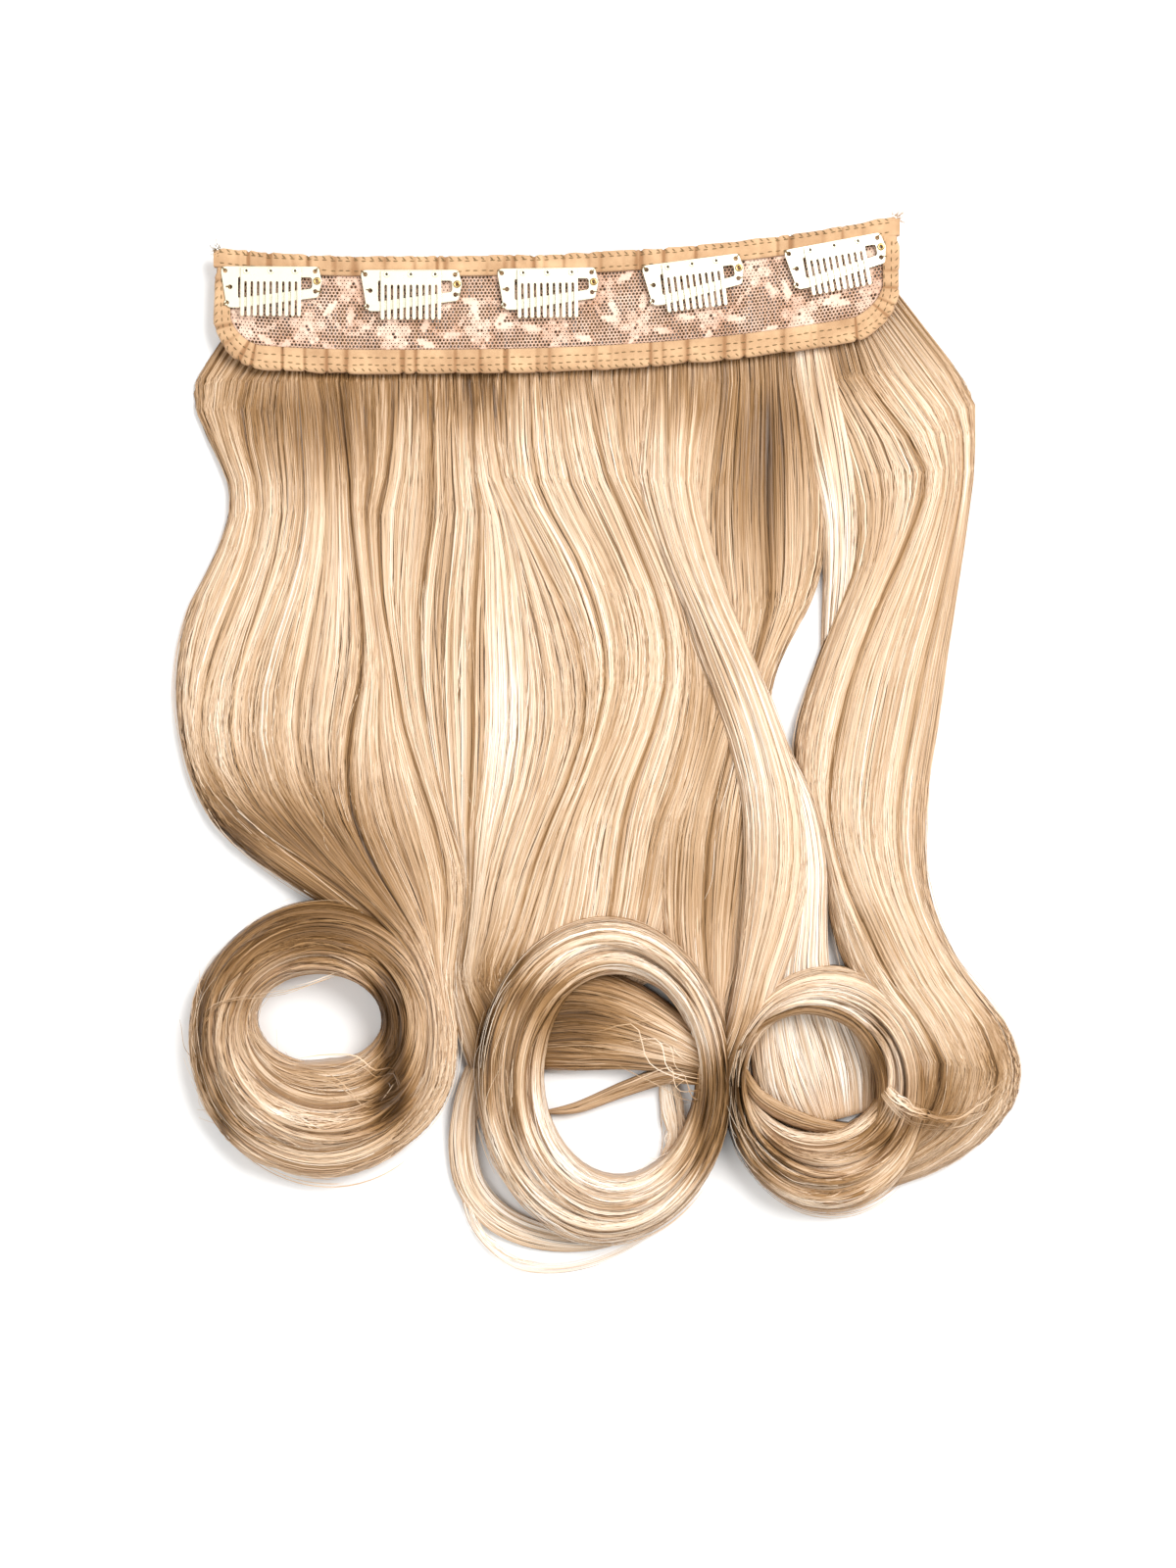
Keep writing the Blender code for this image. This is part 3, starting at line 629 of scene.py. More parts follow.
@dataclass(frozen=True)
class ClothFinish:
    """A woven tape or a net thread; an attribute darkens the tape's creases as painted shade and sets the net's tone.
    """

    name: str
    pale: str
    dark: str
    threads_per_metre: float = 2600.0
    roughness: float = 0.78
    sheen: float = 0.10
    bump: float = 0.5
    pucker: float = 4.0
    woven_share: float = 0.35
    contrast: float = 1.5
    dark_from: float = 0.45
    gloss_swing: float = 0.12
    bump_reach: float = 0.0003

    def build(self, finishes: Finishes) -> Material:
        """Builds the material.

        Args:
            finishes: The shared groups.

        Returns:
            The material.
        """
        material, nodes, shader = new_material(self.name)
        place = nodes.add("TexCoord").outputs["Object"]
        weave = nodes.add("Group", node_tree=finishes.weave)
        nodes.lead(weave, {"Vector": place, "Threads per Metre": self.threads_per_metre, "Pucker": self.pucker})
        threads = weave.outputs["Threads"]
        woven = nodes.sum("MULTIPLY", threads, self.woven_share)
        share = nodes.sum("ADD", woven, weave.outputs["Patches"], clamp=True)
        # Painted shade in the tape's gathered creases, and the net's own tone, darken the colour through this
        # attribute
        sunk = nodes.sum("ADD", attribute(nodes, "dip"), self.dark_from)
        share = nodes.sum("SUBTRACT", nodes.sum("MULTIPLY", share, self.contrast), sunk, clamp=True)
        looks = {
            "Base Color": nodes.blend(share, linear(self.dark), linear(self.pale)),
            "Roughness": nodes.sum("SUBTRACT", self.roughness, nodes.sum("MULTIPLY", threads, self.gloss_swing)),
            "Normal": relief(nodes, weave.outputs["Height"], self.bump, self.bump_reach),
            "Sheen Weight": self.sheen,
        }
        nodes.lead(shader, looks)
        return material


@dataclass(frozen=True)
class MetalFinish:
    """Lacquered or bare sheet metal with small marks, and painted shade on its pointy edges."""

    name: str
    pale: str
    dark: str
    metallic: float
    roughness: float
    coat: float
    coat_roughness: float = 0.12
    marked_share: float = 0.30
    # How far the pointy edges are darkened as painted shade
    edge_shade_share: float = 0.5
    gloss_swing: float = 0.2
    bump: float = 0.08
    bump_reach: float = 0.0002

    def build(self, finishes: Finishes) -> Material:
        """Builds the material.

        Args:
            finishes: The shared groups.

        Returns:
            The material.
        """
        material, nodes, shader = new_material(self.name)
        place = nodes.add("TexCoord").outputs["Object"]
        edge = nodes.add("NewGeometry").outputs["Pointiness"]
        marks_and_edge_shade = nodes.add("Group", node_tree=finishes.marks_and_edge_shade)
        nodes.lead(marks_and_edge_shade, {"Vector": place, "Pointiness": edge})
        marks, shaded_edges, height = (marks_and_edge_shade.outputs[label] for label in ("Marks", "Edge Shade", "Height"))
        marked = nodes.sum("MULTIPLY", marks, self.marked_share)
        colour = nodes.blend(marked, linear(self.pale), linear(self.dark))
        rough = nodes.sum("MULTIPLY", height, self.gloss_swing)
        # The pointy edges are darkened towards the dark colour: painted shade
        looks = {
            "Base Color": nodes.blend(nodes.sum("MULTIPLY", shaded_edges, self.edge_shade_share), colour, linear(self.dark)),
            "Roughness": nodes.sum("ADD", rough, self.roughness - self.gloss_swing / 2),
            "Normal": relief(nodes, height, self.bump, self.bump_reach),
            "Metallic": self.metallic,
            "Coat Weight": self.coat,
            "Coat Roughness": self.coat_roughness,
        }
        nodes.lead(shader, looks)
        return material


@dataclass(frozen=True)
class Patch:
    """Painted shade where hair turns from the light, or painted highlight at a negative amount, in photograph pixels.
    """

    x: float
    y: float
    wide: float
    tall: float
    amount: float

    def at(self, x_px: Array, y_px: Array) -> Array:
        """How dark the patch makes each place.

        Args:
            x_px: Pixels across.
            y_px: Pixels down.

        Returns:
            Amounts, below 0 where it makes them paler.
        """
        return self.amount * np.exp(-(((x_px - self.x) / self.wide) ** 2) - ((y_px - self.y) / self.tall) ** 2)


# Each row gives a patch's x, y, wide, tall and amount of painted shade, negative for painted highlight
FALL_PATCHES = tuple(
    Patch(*row)
    for row in (
        (262, 418, 52, 46, 0.60), (345, 432, 44, 56, 0.64), (425, 400, 60, 24, 0.50), (492, 402, 30, 34, 0.66),
        (445, 470, 16, 40, 0.24), (375, 520, 12, 60, 0.20), (580, 396, 80, 20, 0.44), (700, 398, 50, 34, 0.50),
        (785, 428, 54, 60, 0.60), (768, 512, 42, 62, 0.44), (775, 620, 20, 50, 0.24), (868, 372, 26, 34, 0.50),
        (232, 848, 60, 50, 0.78), (330, 858, 62, 52, 0.62), (400, 890, 50, 50, 0.36), (730, 900, 40, 70, 0.30),
        (728, 745, 18, 60, 0.42), (893, 965, 16, 26, 0.40), (522, 735, 24, 90, -0.30), (640, 560, 26, 70, 0.14),
        (760, 800, 40, 120, -0.12), (300, 600, 50, 60, -0.12), (455, 620, 14, 110, 0.16), (552, 850, 16, 60, 0.16),
        (620, 760, 22, 80, 0.14), (672, 900, 26, 26, 0.16), (900, 520, 18, 100, 0.16), (968, 560, 12, 120, 0.14),
    )
)

# Painted shade and painted highlight on the curls, in the same rows
CURL_PATCHES = tuple(
    Patch(*row)
    for row in (
        (404, 1062, 17, 66, 1.30), (390, 1005, 20, 30, 0.70), (396, 1124, 22, 24, 0.80), (318, 944, 95, 30, 0.74),
        (230, 985, 36, 52, 0.48), (206, 1050, 9, 70, 0.70), (228, 1146, 12, 44, 0.80), (330, 1100, 50, 12, 0.28),
        (496, 1062, 14, 60, 0.95), (522, 1000, 24, 18, 0.60), (524, 1130, 10, 70, 0.50), (585, 1038, 60, 50, 0.80),
        (718, 1132, 16, 46, 0.95), (745, 1085, 20, 24, 0.75), (700, 1184, 26, 18, 0.45), (748, 1140, 14, 50, 0.95),
        (775, 1192, 34, 26, 0.75), (955, 1118, 26, 36, 0.75), (890, 1160, 56, 18, 0.70), (895, 1090, 9, 44, 0.60),
        (1012, 1075, 24, 44, 0.48), (850, 1010, 50, 14, -0.16), (765, 1040, 22, 16, 0.40), (850, 1216, 60, 9, 0.55),
        (300, 1140, 40, 20, -0.14), (560, 1180, 30, 60, -0.12), (640, 950, 60, 16, -0.14), (690, 1068, 30, 24, -0.18),
    )
)


@dataclass(frozen=True)
class FlowLine:
    """A line that the hair follows down the fall, in photograph pixels.

    The root gives its first place, and across one place at each of FLOW_LEVELS_PX. A dark line is a parting with
    painted shade.
    """

    root: Pair
    across: tuple[float, ...]
    dark: float = 0.0

    def points(self, tail: Array) -> Array:
        """The line's places.

        Args:
            tail: The places after the last level.

        Returns:
            Pixels of shape (count, 2).
        """
        return np.concatenate([[self.root], np.array([*zip(self.across, FLOW_LEVELS_PX)], dtype=float), tail])


@dataclass(frozen=True)
class Grooming:
    """How the strands of every lock gather in tufts, wander, thin out and differ in tone.

    A pair is a least and a most, or a plain amount and its random swing. Widths are shares of the lock's or of the
    tuft's, lengths and heights are in metres, leans in radians. Strands at a tuft's edges are darker, and more often
    dark, as painted shade.
    """

    shortest: float = 0.2
    tuft_widths: Pair = (0.35, 1.65)
    pinch: Pair = (0.18, 0.30)
    pinch_most: float = 0.6
    sway: float = 0.35
    wander_loose: float = 0.030
    wander: float = 0.003
    edge_gap: float = 0.0015
    edge_turn: float = 0.012
    tuft_height: float = 0.0005
    lift: float = 0.0002
    lift_wave: float = 0.00015
    # Dark strands fall at random, and more often at a tuft's edges as painted shade
    dark_inside: float = 0.4
    dark_outside: float = 2.2
    thinnest: float = 0.45
    dark_thickness: float = 0.6
    lean_swing: float = 0.40
    lean_outside: float = 0.35
    tuft_tone: Pair = (0.035, 0.055)
    tone_swing: float = 0.07
    # Strands at a tuft's edges are darker: painted shade
    tuft_edge_shade: float = 0.12
    streak_depth: Pair = (0.25, 0.65)
    streak_share: float = 0.45
    shade_uneven: Pair = (0.0035, 0.0022)


GROOM = Grooming()


@dataclass(frozen=True)
class Lock:
    """A run of hair with a flat underside and a crowned top.

    Places across go from 0 at one edge over the top to 1 at the other, and places along from root to end. The crest
    heights are evenly spaced along. The walls are the shares of the height that are left at the two edges, where a
    neighbour hides them.
    """

    name: str
    crest_mm: tuple[float, ...]
    low_mm: float
    strands: int
    steps: int
    tone: float
    ridge_mm: float = 0.0
    fullness: float = 0.6
    columns: int = 10
    ragged: float = 0.10
    bare: bool = False
    dark_share: float = 0.18
    tuft: int = 34
    loose_share: float = 0.14
    scatter: float = 0.015
    walls: Pair = (0.0, 0.0)
    ridges_from: float = 0.12
    edge_shade: float = 0.30

    def plan(self, across: Array, along: Array) -> Array:
        """Places seen from above, given by each kind of lock.

        Args:
            across: Shares of the width, 0 to 1.
            along: Shares of the length.

        Returns:
            Pixels with two values last.
        """
        raise NotImplementedError

    def crest(self, along: Array) -> Array:
        """Height of the top.

        Args:
            along: Shares of the length.

        Returns:
            Heights in millimetres.
        """
        return np.interp(along, np.linspace(0, 1, len(self.crest_mm)), self.crest_mm)

    def partings(self, across: Array, along: Array) -> tuple[Array, Array]:
        """How far each place lies up a small ridge, and how much painted shade its parting gets.

        Args:
            across: Shares of the width.
            along: Shares of the length.

        Returns:
            Ridge heights from -0.5 to 0.5, and amounts of painted shade.
        """
        return np.zeros_like(across + along), np.zeros_like(across + along)

    def skin(self, across: Array, along: Array, lift: Array | float) -> Array:
        """Points on the lock's surface.

        Args:
            across: Shares of the arch over the lock, 0 to 1.
            along: Shares of the length.
            lift: Height over the surface, in metres.

        Returns:
            Points in metres.
        """
        wide = 0.5 - 0.5 * np.cos(np.pi * across)
        x, y = on_plane(*np.moveaxis(self.plan(wide, along), -1, 0))
        ridge, _ = self.partings(wide, along)
        arch = np.sin(np.pi * np.clip(across, 0, 1)) ** self.fullness
        arch = np.maximum(arch, np.where(across < 0.5, *self.walls))
        ease = np.clip(along / self.ridges_from, 0, 1)
        high = self.low_mm + (self.crest(along) - self.low_mm) * arch + ridge * self.ridge_mm * arch * ease
        return np.stack([x, y, np.maximum(high * MM + lift, SKIN_FLOOR)], axis=-1)

    def shade(self, across: Array, along: Array, points: Array) -> Array:
        """How far each place turns from the light, painted into the colour as shade, and below 0 as painted highlight.

        Args:
            across: Shares of the arch over the lock.
            along: Shares of the length.
            points: The places in metres.

        Returns:
            Amounts from PALEST_SHADE to 1.
        """
        x_px = points[..., 0] / METRES_PER_PX + ORIGIN_PX[0]
        y_px = ORIGIN_PX[1] - points[..., 1] / METRES_PER_PX
        # Painted shade and painted highlight from the patches, painted shade in the partings and at the free edges
        dark = sum(patch.at(x_px, y_px) for patch in FALL_PATCHES)
        dark = dark + sum(patch.at(x_px, y_px) for patch in CURL_PATCHES)
        _, parted = self.partings(0.5 - 0.5 * np.cos(np.pi * across), along)
        free = 1 - np.where(across < 0.5, *self.walls)
        edge = self.edge_shade * free * (1 - np.sin(np.pi * np.clip(across, 0, 1))) ** 3
        return np.clip(dark + parted + edge, PALEST_SHADE, 1)

    def length(self) -> float:
        """The lock's length down its middle, in metres."""
        path = self.skin(np.full(60, 0.5), np.linspace(0, 1, 60), 0.0)
        return float(np.linalg.norm(np.diff(path, axis=0), axis=1).sum())

    def core(self) -> MeshParts:
        """The closed body under the strands.

        Returns:
            Its corners, its quads and its attributes.
        """
        columns, rows = self.columns, self.steps + 8
        across, along = np.meshgrid(np.linspace(0, 1, columns), np.linspace(0, 1, rows))
        top = self.skin(across, along, -BODY_DEPTH)
        points = top.reshape(-1, 3)
        faces = [grid_faces(rows, columns, False)]
        first = np.arange(rows - 1) * columns
        last = first + columns - 1
        faces.append(np.stack([last, first, first + columns, last + columns], axis=1))
        ends = []
        for row in (0, rows - 1):
            for i in range(columns // 2 - 1):
                a, b = row * columns + i, row * columns + columns - 1 - i
                ends.append((a, a + 1, b - 1, b) if row else (b, b - 1, a + 1, a))
        faces.append(np.array(ends))
        span = self.plan(np.array([0.0, 1.0]), np.array([0.4, 0.4]))
        width = float(np.linalg.norm(span[1] - span[0])) * METRES_PER_PX
        # The body is darker than its strands: painted shade in the gaps between them
        values = {
            "tone": np.full(across.size, self.tone - BODY_SHADE_TONE_DROP),
            "across": (across * width * 1.6).ravel(),
            "along": (along * self.length()).ravel(),
            "shade": np.clip(self.shade(across, along, top) + BODY_SHADE, PALEST_SHADE, 1).ravel(),
        }
        return points, np.concatenate(faces), values

    def hairs(self, rng: np.random.Generator) -> MeshParts:
        """The strands that lie over the lock, as narrow ribbons that each lean their own way.

        Args:
            rng: The seeded source of chance.

        Returns:
            Corners, quads and attributes of all the strands.
        """
        count, steps = self.strands, self.steps
        begin = rng.uniform(0.0, self.scatter, count)
        reach = 1 - rng.uniform(0.0, 1.0, count) ** 1.5 * self.ragged
        reach = reach if self.scatter >= 1 else np.maximum(reach - begin, GROOM.shortest)
        along = begin[:, None] + reach[:, None] * np.linspace(0, 1, steps)
        even = (np.arange(count) + rng.uniform(0, 1, count)) / count
        tufts = max(2, count // self.tuft)
        bounds = np.concatenate([[0], np.cumsum(rng.uniform(*GROOM.tuft_widths, tufts))])
        bounds /= bounds[-1]
        owner = np.clip(np.searchsorted(bounds, even) - 1, 0, tufts - 1)
        middle, span = (bounds[1:] + bounds[:-1])[owner] / 2, np.diff(bounds)[owner]
        off = (even - middle) / span * 2
        pinch = np.clip(GROOM.pinch[0] + GROOM.pinch[1] * drift(rng, tufts, steps, 7), 0, GROOM.pinch_most)[owner]
        sway = drift(rng, tufts, steps, 6)[owner] * span[:, None] * GROOM.sway
        loose = (rng.uniform(0, 1, count) < self.loose_share)[:, None]
        wander = drift(rng, count, steps, 5) * np.where(loose, GROOM.wander_loose, GROOM.wander)
        wide = even[:, None] + np.where(loose, 0, -off[:, None] * span[:, None] / 2 * pinch + sway) + wander
        within = np.clip(wide, GROOM.edge_gap, 1 - GROOM.edge_gap)
        across = np.clip(np.arccos(1 - 2 * within) / np.pi, GROOM.edge_turn, 1 - GROOM.edge_turn)
        crown = GROOM.tuft_height * np.where(loose[:, 0], 1, 1 - off**2)
        lift = (crown + rng.uniform(-GROOM.lift, GROOM.lift, count))[:, None]
        lift = lift + drift(rng, count, steps, 6) * GROOM.lift_wave
        paths = self.skin(across, along, lift)
        beside = self.skin(across + 0.01, along, lift) - self.skin(across - 0.01, along, lift)
        # Dark strands fall at random, and more often at the tufts' edges as painted shade
        dark = rng.uniform(0, 1, count) < self.dark_share * (GROOM.dark_inside + GROOM.dark_outside * off**4)
        thick = rng.uniform(GROOM.thinnest, 1.0, count) * np.where(dark, GROOM.dark_thickness, 1.0) * Thread.BODY.value
        share = np.linspace(0, 1, steps)
        taper = np.clip(np.minimum((1 - share) * 7, 0.3 + share * 9), 0.15, 1)
        roll = rng.normal(0, GROOM.lean_swing, count) - GROOM.lean_outside * off
        points, faces = ribbons(paths, beside, thick[:, None] * taper, roll)
        even_tone, waved_tone = GROOM.tuft_tone
        tuft_tone = (rng.normal(0, even_tone, tufts)[:, None] + drift(rng, tufts, steps, 6) * waved_tone)[owner]
        # Strands at the tufts' edges are darker: painted shade
        own_tone = self.tone + rng.normal(0, GROOM.tone_swing, count) - GROOM.tuft_edge_shade * off**4
        streak = dark * rng.uniform(*GROOM.streak_depth, count)
        fade = np.clip(drift(rng, count, steps, 9) + GROOM.streak_share, 0, 1)
        tone = own_tone[:, None] + tuft_tone - streak[:, None] * fade
        uneven = rng.normal(0, GROOM.shade_uneven[0], tufts)[owner] + rng.normal(0, GROOM.shade_uneven[1], count)
        shaded = paths + np.array([0.0, 1.0, 0.0]) * uneven[:, None, None]
        values = {"tone": tone, "along": along * self.length(), "shade": self.shade(across, along, shaded)}
        values = {label: np.repeat(v.reshape(-1), 2) for label, v in values.items()}
        sideways = rng.uniform(0, 1, (count, 1, 1)) + (thick[:, None] * taper)[..., None] * np.array([-1.0, 1.0])
        return points, faces, values | {"across": sideways.reshape(-1)}


@dataclass(frozen=True)
class Fall(Lock):
    """A lock of the fall, spread between its flow lines. Its tails lead the first and the last line into a curl."""

    lines: tuple[FlowLine, ...] = ()
    parting_width: float = 0.07
    partings_from: float = 0.125
    # Painted shade in the gaps between the sewn rows at the roots: its pitch, reach and depth
    sewn_pitch: float = 0.0017
    sewn_reach: float = 0.035
    sewn_shade: float = 0.7
    tails: tuple[tuple[Pair, ...], tuple[Pair, ...]] = ((), ())

    def plan(self, across: Array, along: Array) -> Array:
        """Places between the flow lines.

        Args:
            across: Shares of the width.
            along: Shares of the length.

        Returns:
            Pixels with two values last.
        """
        across, along = np.broadcast_arrays(across, along)
        count = len(self.lines)
        first, last = (np.array(tail, dtype=float) for tail in self.tails)
        rows = [line.points(first + (last - first) * i / (count - 1)) for i, line in enumerate(self.lines)]
        drawn = np.stack([spline(row, along) for row in rows])
        place = np.clip(across, 0, 1) * (count - 1)
        before = np.minimum(place.astype(int), count - 2)
        part = (place - before)[..., None]
        picked = [np.take_along_axis(drawn, (before + k)[None, ..., None], axis=0)[0] for k in (0, 1)]
        return picked[0] * (1 - part) + picked[1] * part

    def partings(self, across: Array, along: Array) -> tuple[Array, Array]:
        """Ridges between the flow lines, and the painted shade of their partings and of the gaps between the sewn
        roots.

        Args:
            across: Shares of the width.
            along: Shares of the length.

        Returns:
            Ridge heights and amounts of painted shade.
        """
        across, along = np.broadcast_arrays(across, along)
        place = np.clip(across, 0, 1) * (len(self.lines) - 1)
        ridge = np.abs(np.sin(np.pi * place)) ** 0.7 - 0.5
        depth = np.array([line.dark for line in self.lines])
        nearest = np.clip(np.rint(place).astype(int), 0, len(self.lines) - 1)
        close = np.exp(-(((place - nearest) / self.parting_width) ** 2))
        sewn = (self.lines[-1].root[0] - self.lines[0].root[0]) * METRES_PER_PX / self.sewn_pitch
        ticks = (0.5 + 0.5 * np.cos(math.tau * sewn * across)) ** 2 * np.exp(-((along / self.sewn_reach) ** 2))
        parted = depth[nearest] * close * np.clip(along / self.partings_from, 0, 1)
        return ridge, parted + self.sewn_shade * ticks


@dataclass(frozen=True)
class Wisp(Lock):
    """A single lock along a middle line, with rows of x, y and half width in photograph pixels."""

    rows: tuple[tuple[float, float, float], ...] = ()

    def plan(self, across: Array, along: Array) -> Array:
        """Places beside the middle line.

        Args:
            across: Shares of the width.
            along: Shares of the length.

        Returns:
            Pixels with two values last.
        """
        across, along = np.broadcast_arrays(across, along)
        rows = np.array(self.rows, dtype=float)
        here = spline(rows, along)
        ahead = spline(rows[:, :2], np.clip(along + 0.01, 0, 1)) - spline(rows[:, :2], np.clip(along - 0.01, 0, 1))
        ahead /= np.linalg.norm(ahead, axis=-1, keepdims=True) + 1e-9
        side = np.stack([-ahead[..., 1], ahead[..., 0]], axis=-1)
        return here[..., :2] + side * (here[..., 2] * (2 * across - 1))[..., None]


@dataclass(frozen=True)
class Ring:
    """The room that a curl is wound in: two ovals, each x, y, reach across and reach down in photograph pixels."""

    inner: tuple[float, float, float, float]
    outer: tuple[float, float, float, float]
    height_mm: float

    def at(self, turn: Array, share: Array) -> Array:
        """Places on the ring.

        Args:
            turn: Angles in radians.
            share: 0 at the inner oval, 1 at the outer.

        Returns:
            Pixels with two values last.
        """
        inner, outer = np.array(self.inner), np.array(self.outer)
        oval = inner + (outer - inner) * share[..., None]
        x, y = oval[..., 0] + oval[..., 2] * np.cos(turn), oval[..., 1] - oval[..., 3] * np.sin(turn)
        return np.stack([x, y], axis=-1)

    def crown(self, share: Array) -> Array:
        """Height of the ring.

        Args:
            share: 0 at the inner oval, 1 at the outer.

        Returns:
            Heights in millimetres.
        """
        return self.height_mm * (1 - 0.5 * np.abs(1.9 * share - 0.85) ** 2.2)


@dataclass(frozen=True)
class Coil(Lock):
    """A bundle of a curl. It starts at an angle in degrees and drifts between two shares of its ring.

    Its crest heights are added to the ring's own.
    """

    tuft: int = 28
    ring: Ring = Ring((0, 0, 1, 1), (0, 0, 2, 2), 10.0)
    start: float = 0.0
    sweep: float = 360.0
    shares: Pair = (0.5, 0.5)
    half: float = 0.1
    side: Side = Side.CLOCKWISE

    def ends(self, along: Array) -> Array:
        """How much of the bundle is left towards its ends.

        Args:
            along: Shares of the length.

        Returns:
            Shares, 1 all round where the bundle is a closed ring.
        """
        if self.sweep >= 360:
            return np.ones_like(along)
        return np.clip(np.minimum(along, 1 - along) / 0.2, 0.06, 1) ** 0.6

    def plan(self, across: Array, along: Array) -> Array:
        """Places on the bundle, outer edge first.

        Args:
            across: Shares of the width.
            along: Shares of the length.

        Returns:
            Pixels with two values last.
        """
        across, along = np.broadcast_arrays(across, along)
        turn = np.radians(self.start + self.side.value * self.sweep * along)
        share = self.shares[0] + (self.shares[1] - self.shares[0]) * along
        return self.ring.at(turn, share + self.half * (1 - 2 * across) * self.ends(along))

    def crest(self, along: Array) -> Array:
        """Height of the top, over the ring's own.

        Args:
            along: Shares of the length.

        Returns:
            Heights in millimetres.
        """
        share = self.shares[0] + (self.shares[1] - self.shares[0]) * along
        return (self.ring.crown(share) + super().crest(along)) * (0.72 + 0.28 * self.ends(along))


@dataclass(frozen=True)
class Curl:
    """A curl: a closed ring of hair, bundles that wind over it, and a halo of hairs that have come loose."""

    name: str
    ring: Ring
    bundles: int
    tone: float
    seed: int
    outermost: float = 0.90
    innermost: float = 0.12
    halo_starts: tuple[float, ...] = (110.0, 190.0)
    bed_strands: int = 300
    bundle_strands: int = 620
    crests_mm: Pair = (-1.8, 2.2)
    halves: Pair = (0.05, 0.18)
    sweeps: Pair = (110, 300)
    drifts: Pair = (-0.25, 0.45)
    tone_swing: float = 0.05

    def locks(self) -> tuple[Coil, ...]:
        """The ring's own hair and its bundles.

        Returns:
            The locks.
        """
        rng = np.random.default_rng(self.seed)
        bed = Coil(
            f"{self.name}_bed", (-4.0,), 0.4, self.bed_strands, 40, self.tone, fullness=0.42, columns=16, ragged=0.4,
            scatter=1.0, ring=self.ring, start=90, sweep=372, shares=(0.5, 0.5), half=0.5,
        )
        rows = [bed]
        for number in range(self.bundles):
            place = (number + rng.uniform(0.2, 0.8)) / self.bundles
            share = self.outermost + (self.innermost - self.outermost) * place
            end = np.clip(share - rng.uniform(*self.drifts), self.innermost * 0.5, 0.97)
            half = rng.uniform(*self.halves)
            rows.append(
                Coil(
                    f"{self.name}_{number}", tuple(rng.uniform(*self.crests_mm, 4)), 0.4,
                    int(self.bundle_strands * half), 28, self.tone + rng.normal(0, self.tone_swing), fullness=0.5,
                    ragged=0.5, scatter=0.4, ring=self.ring, start=rng.uniform(0, 360),
                    sweep=rng.uniform(*self.sweeps), shares=(share, float(end)), half=half,
                )
            )
        for number, start in enumerate(self.halo_starts):
            rows.append(
                Coil(
                    f"{self.name}_halo_{number}", (-3.0,), 0.3, 10, 20, self.tone, ragged=0.8, bare=True,
                    loose_share=1.0, scatter=0.5, ring=self.ring, start=start, sweep=130, shares=(0.97, 1.10),
                    half=0.07, side=Side.ANTICLOCKWISE,
                )
            )
        return tuple(rows)


LEFT_FALL = Fall(
    "left_fall", (4.2, 9.5, 11.5, 12.5, 20.0, 25.5, 8.0), 0.5, 2400, 23, 0.73, 1.2, columns=44, walls=(0.0, 0.9),
    lines=(
        FlowLine((226, 340), (196, 202, 227, 233, 215, 190, 178, 180, 195, 225, 290, 372, 422)),
        FlowLine((262, 372), (250, 245, 258, 262, 252, 233, 212, 203, 218, 268, 343, 400, 430), 0.30),
        FlowLine((300, 375), (300, 302, 305, 306, 298, 282, 260, 251, 264, 303, 350, 408, 436), 0.18),
        FlowLine((322, 378), (322, 330, 332, 333, 330, 322, 310, 303, 312, 340, 376, 416, 441), 0.22),
        FlowLine((345, 378), (345, 350, 356, 358, 363, 369, 372, 360, 355, 366, 392, 424, 446), 0.80),
        FlowLine((372, 378), (372, 374, 376, 372, 376, 381, 388, 386, 392, 405, 424, 440, 449), 0.30),
        FlowLine((400, 377), (400, 399, 395, 385, 386, 390, 402, 412, 431, 447, 458, 455, 452), 0.60),
        FlowLine((440, 375), (440, 442, 443, 443, 436, 430, 429, 436, 448, 462, 474, 470, 462), 0.62),
    ),
    tails=(
        ((434, 1050), (428, 1098), (402, 1142), (358, 1168), (306, 1176)),
        ((468, 1052), (462, 1106), (434, 1152), (386, 1182), (326, 1188)),
    ),
)

CENTRE_FALL = Fall(
    "centre_fall", (4.1, 9.2, 11.2, 11.5, 8.0, 5.0, 3.0), 0.4, 2400, 23, 0.76, 1.1, columns=44, walls=(0.9, 0.75),
    lines=(
        FlowLine((434, 374), (434, 435, 436, 436, 428, 422, 421, 428, 440, 454, 466, 464, 458), 0.2),
        FlowLine((480, 373), (480, 482, 483, 489, 487, 484, 482, 482, 480, 477, 478, 474, 468), 0.45),
        FlowLine((490, 372), (490, 493, 497, 512, 524, 530, 538, 540, 530, 515, 500, 492, 482)),
        FlowLine((505, 371), (503, 504, 508, 526, 552, 577, 596, 598, 579, 558, 540, 527, 506), 0.55),
        FlowLine((540, 369), (540, 542, 545, 560, 588, 606, 618, 609, 589, 568, 552, 537, 520), 0.55),
        FlowLine((570, 368), (570, 575, 582, 600, 625, 645, 652, 640, 615, 598, 590, 580, 566), 0.10),
        FlowLine((600, 367), (600, 607, 618, 635, 655, 673, 681, 668, 646, 634, 628, 620, 606), 0.55),
        FlowLine((632, 366), (630, 634, 640, 658, 680, 700, 710, 705, 690, 672, 664, 654, 640), 0.30),
        FlowLine((672, 363), (670, 668, 668, 680, 702, 728, 740, 738, 722, 704, 696, 682, 664)),
    ),
    tails=(
        ((466, 1050), (480, 1095), (486, 1125), (480, 1150), (474, 1170)),
        ((618, 1012), (594, 1024), (572, 1034), (552, 1044), (534, 1050)),
    ),
)

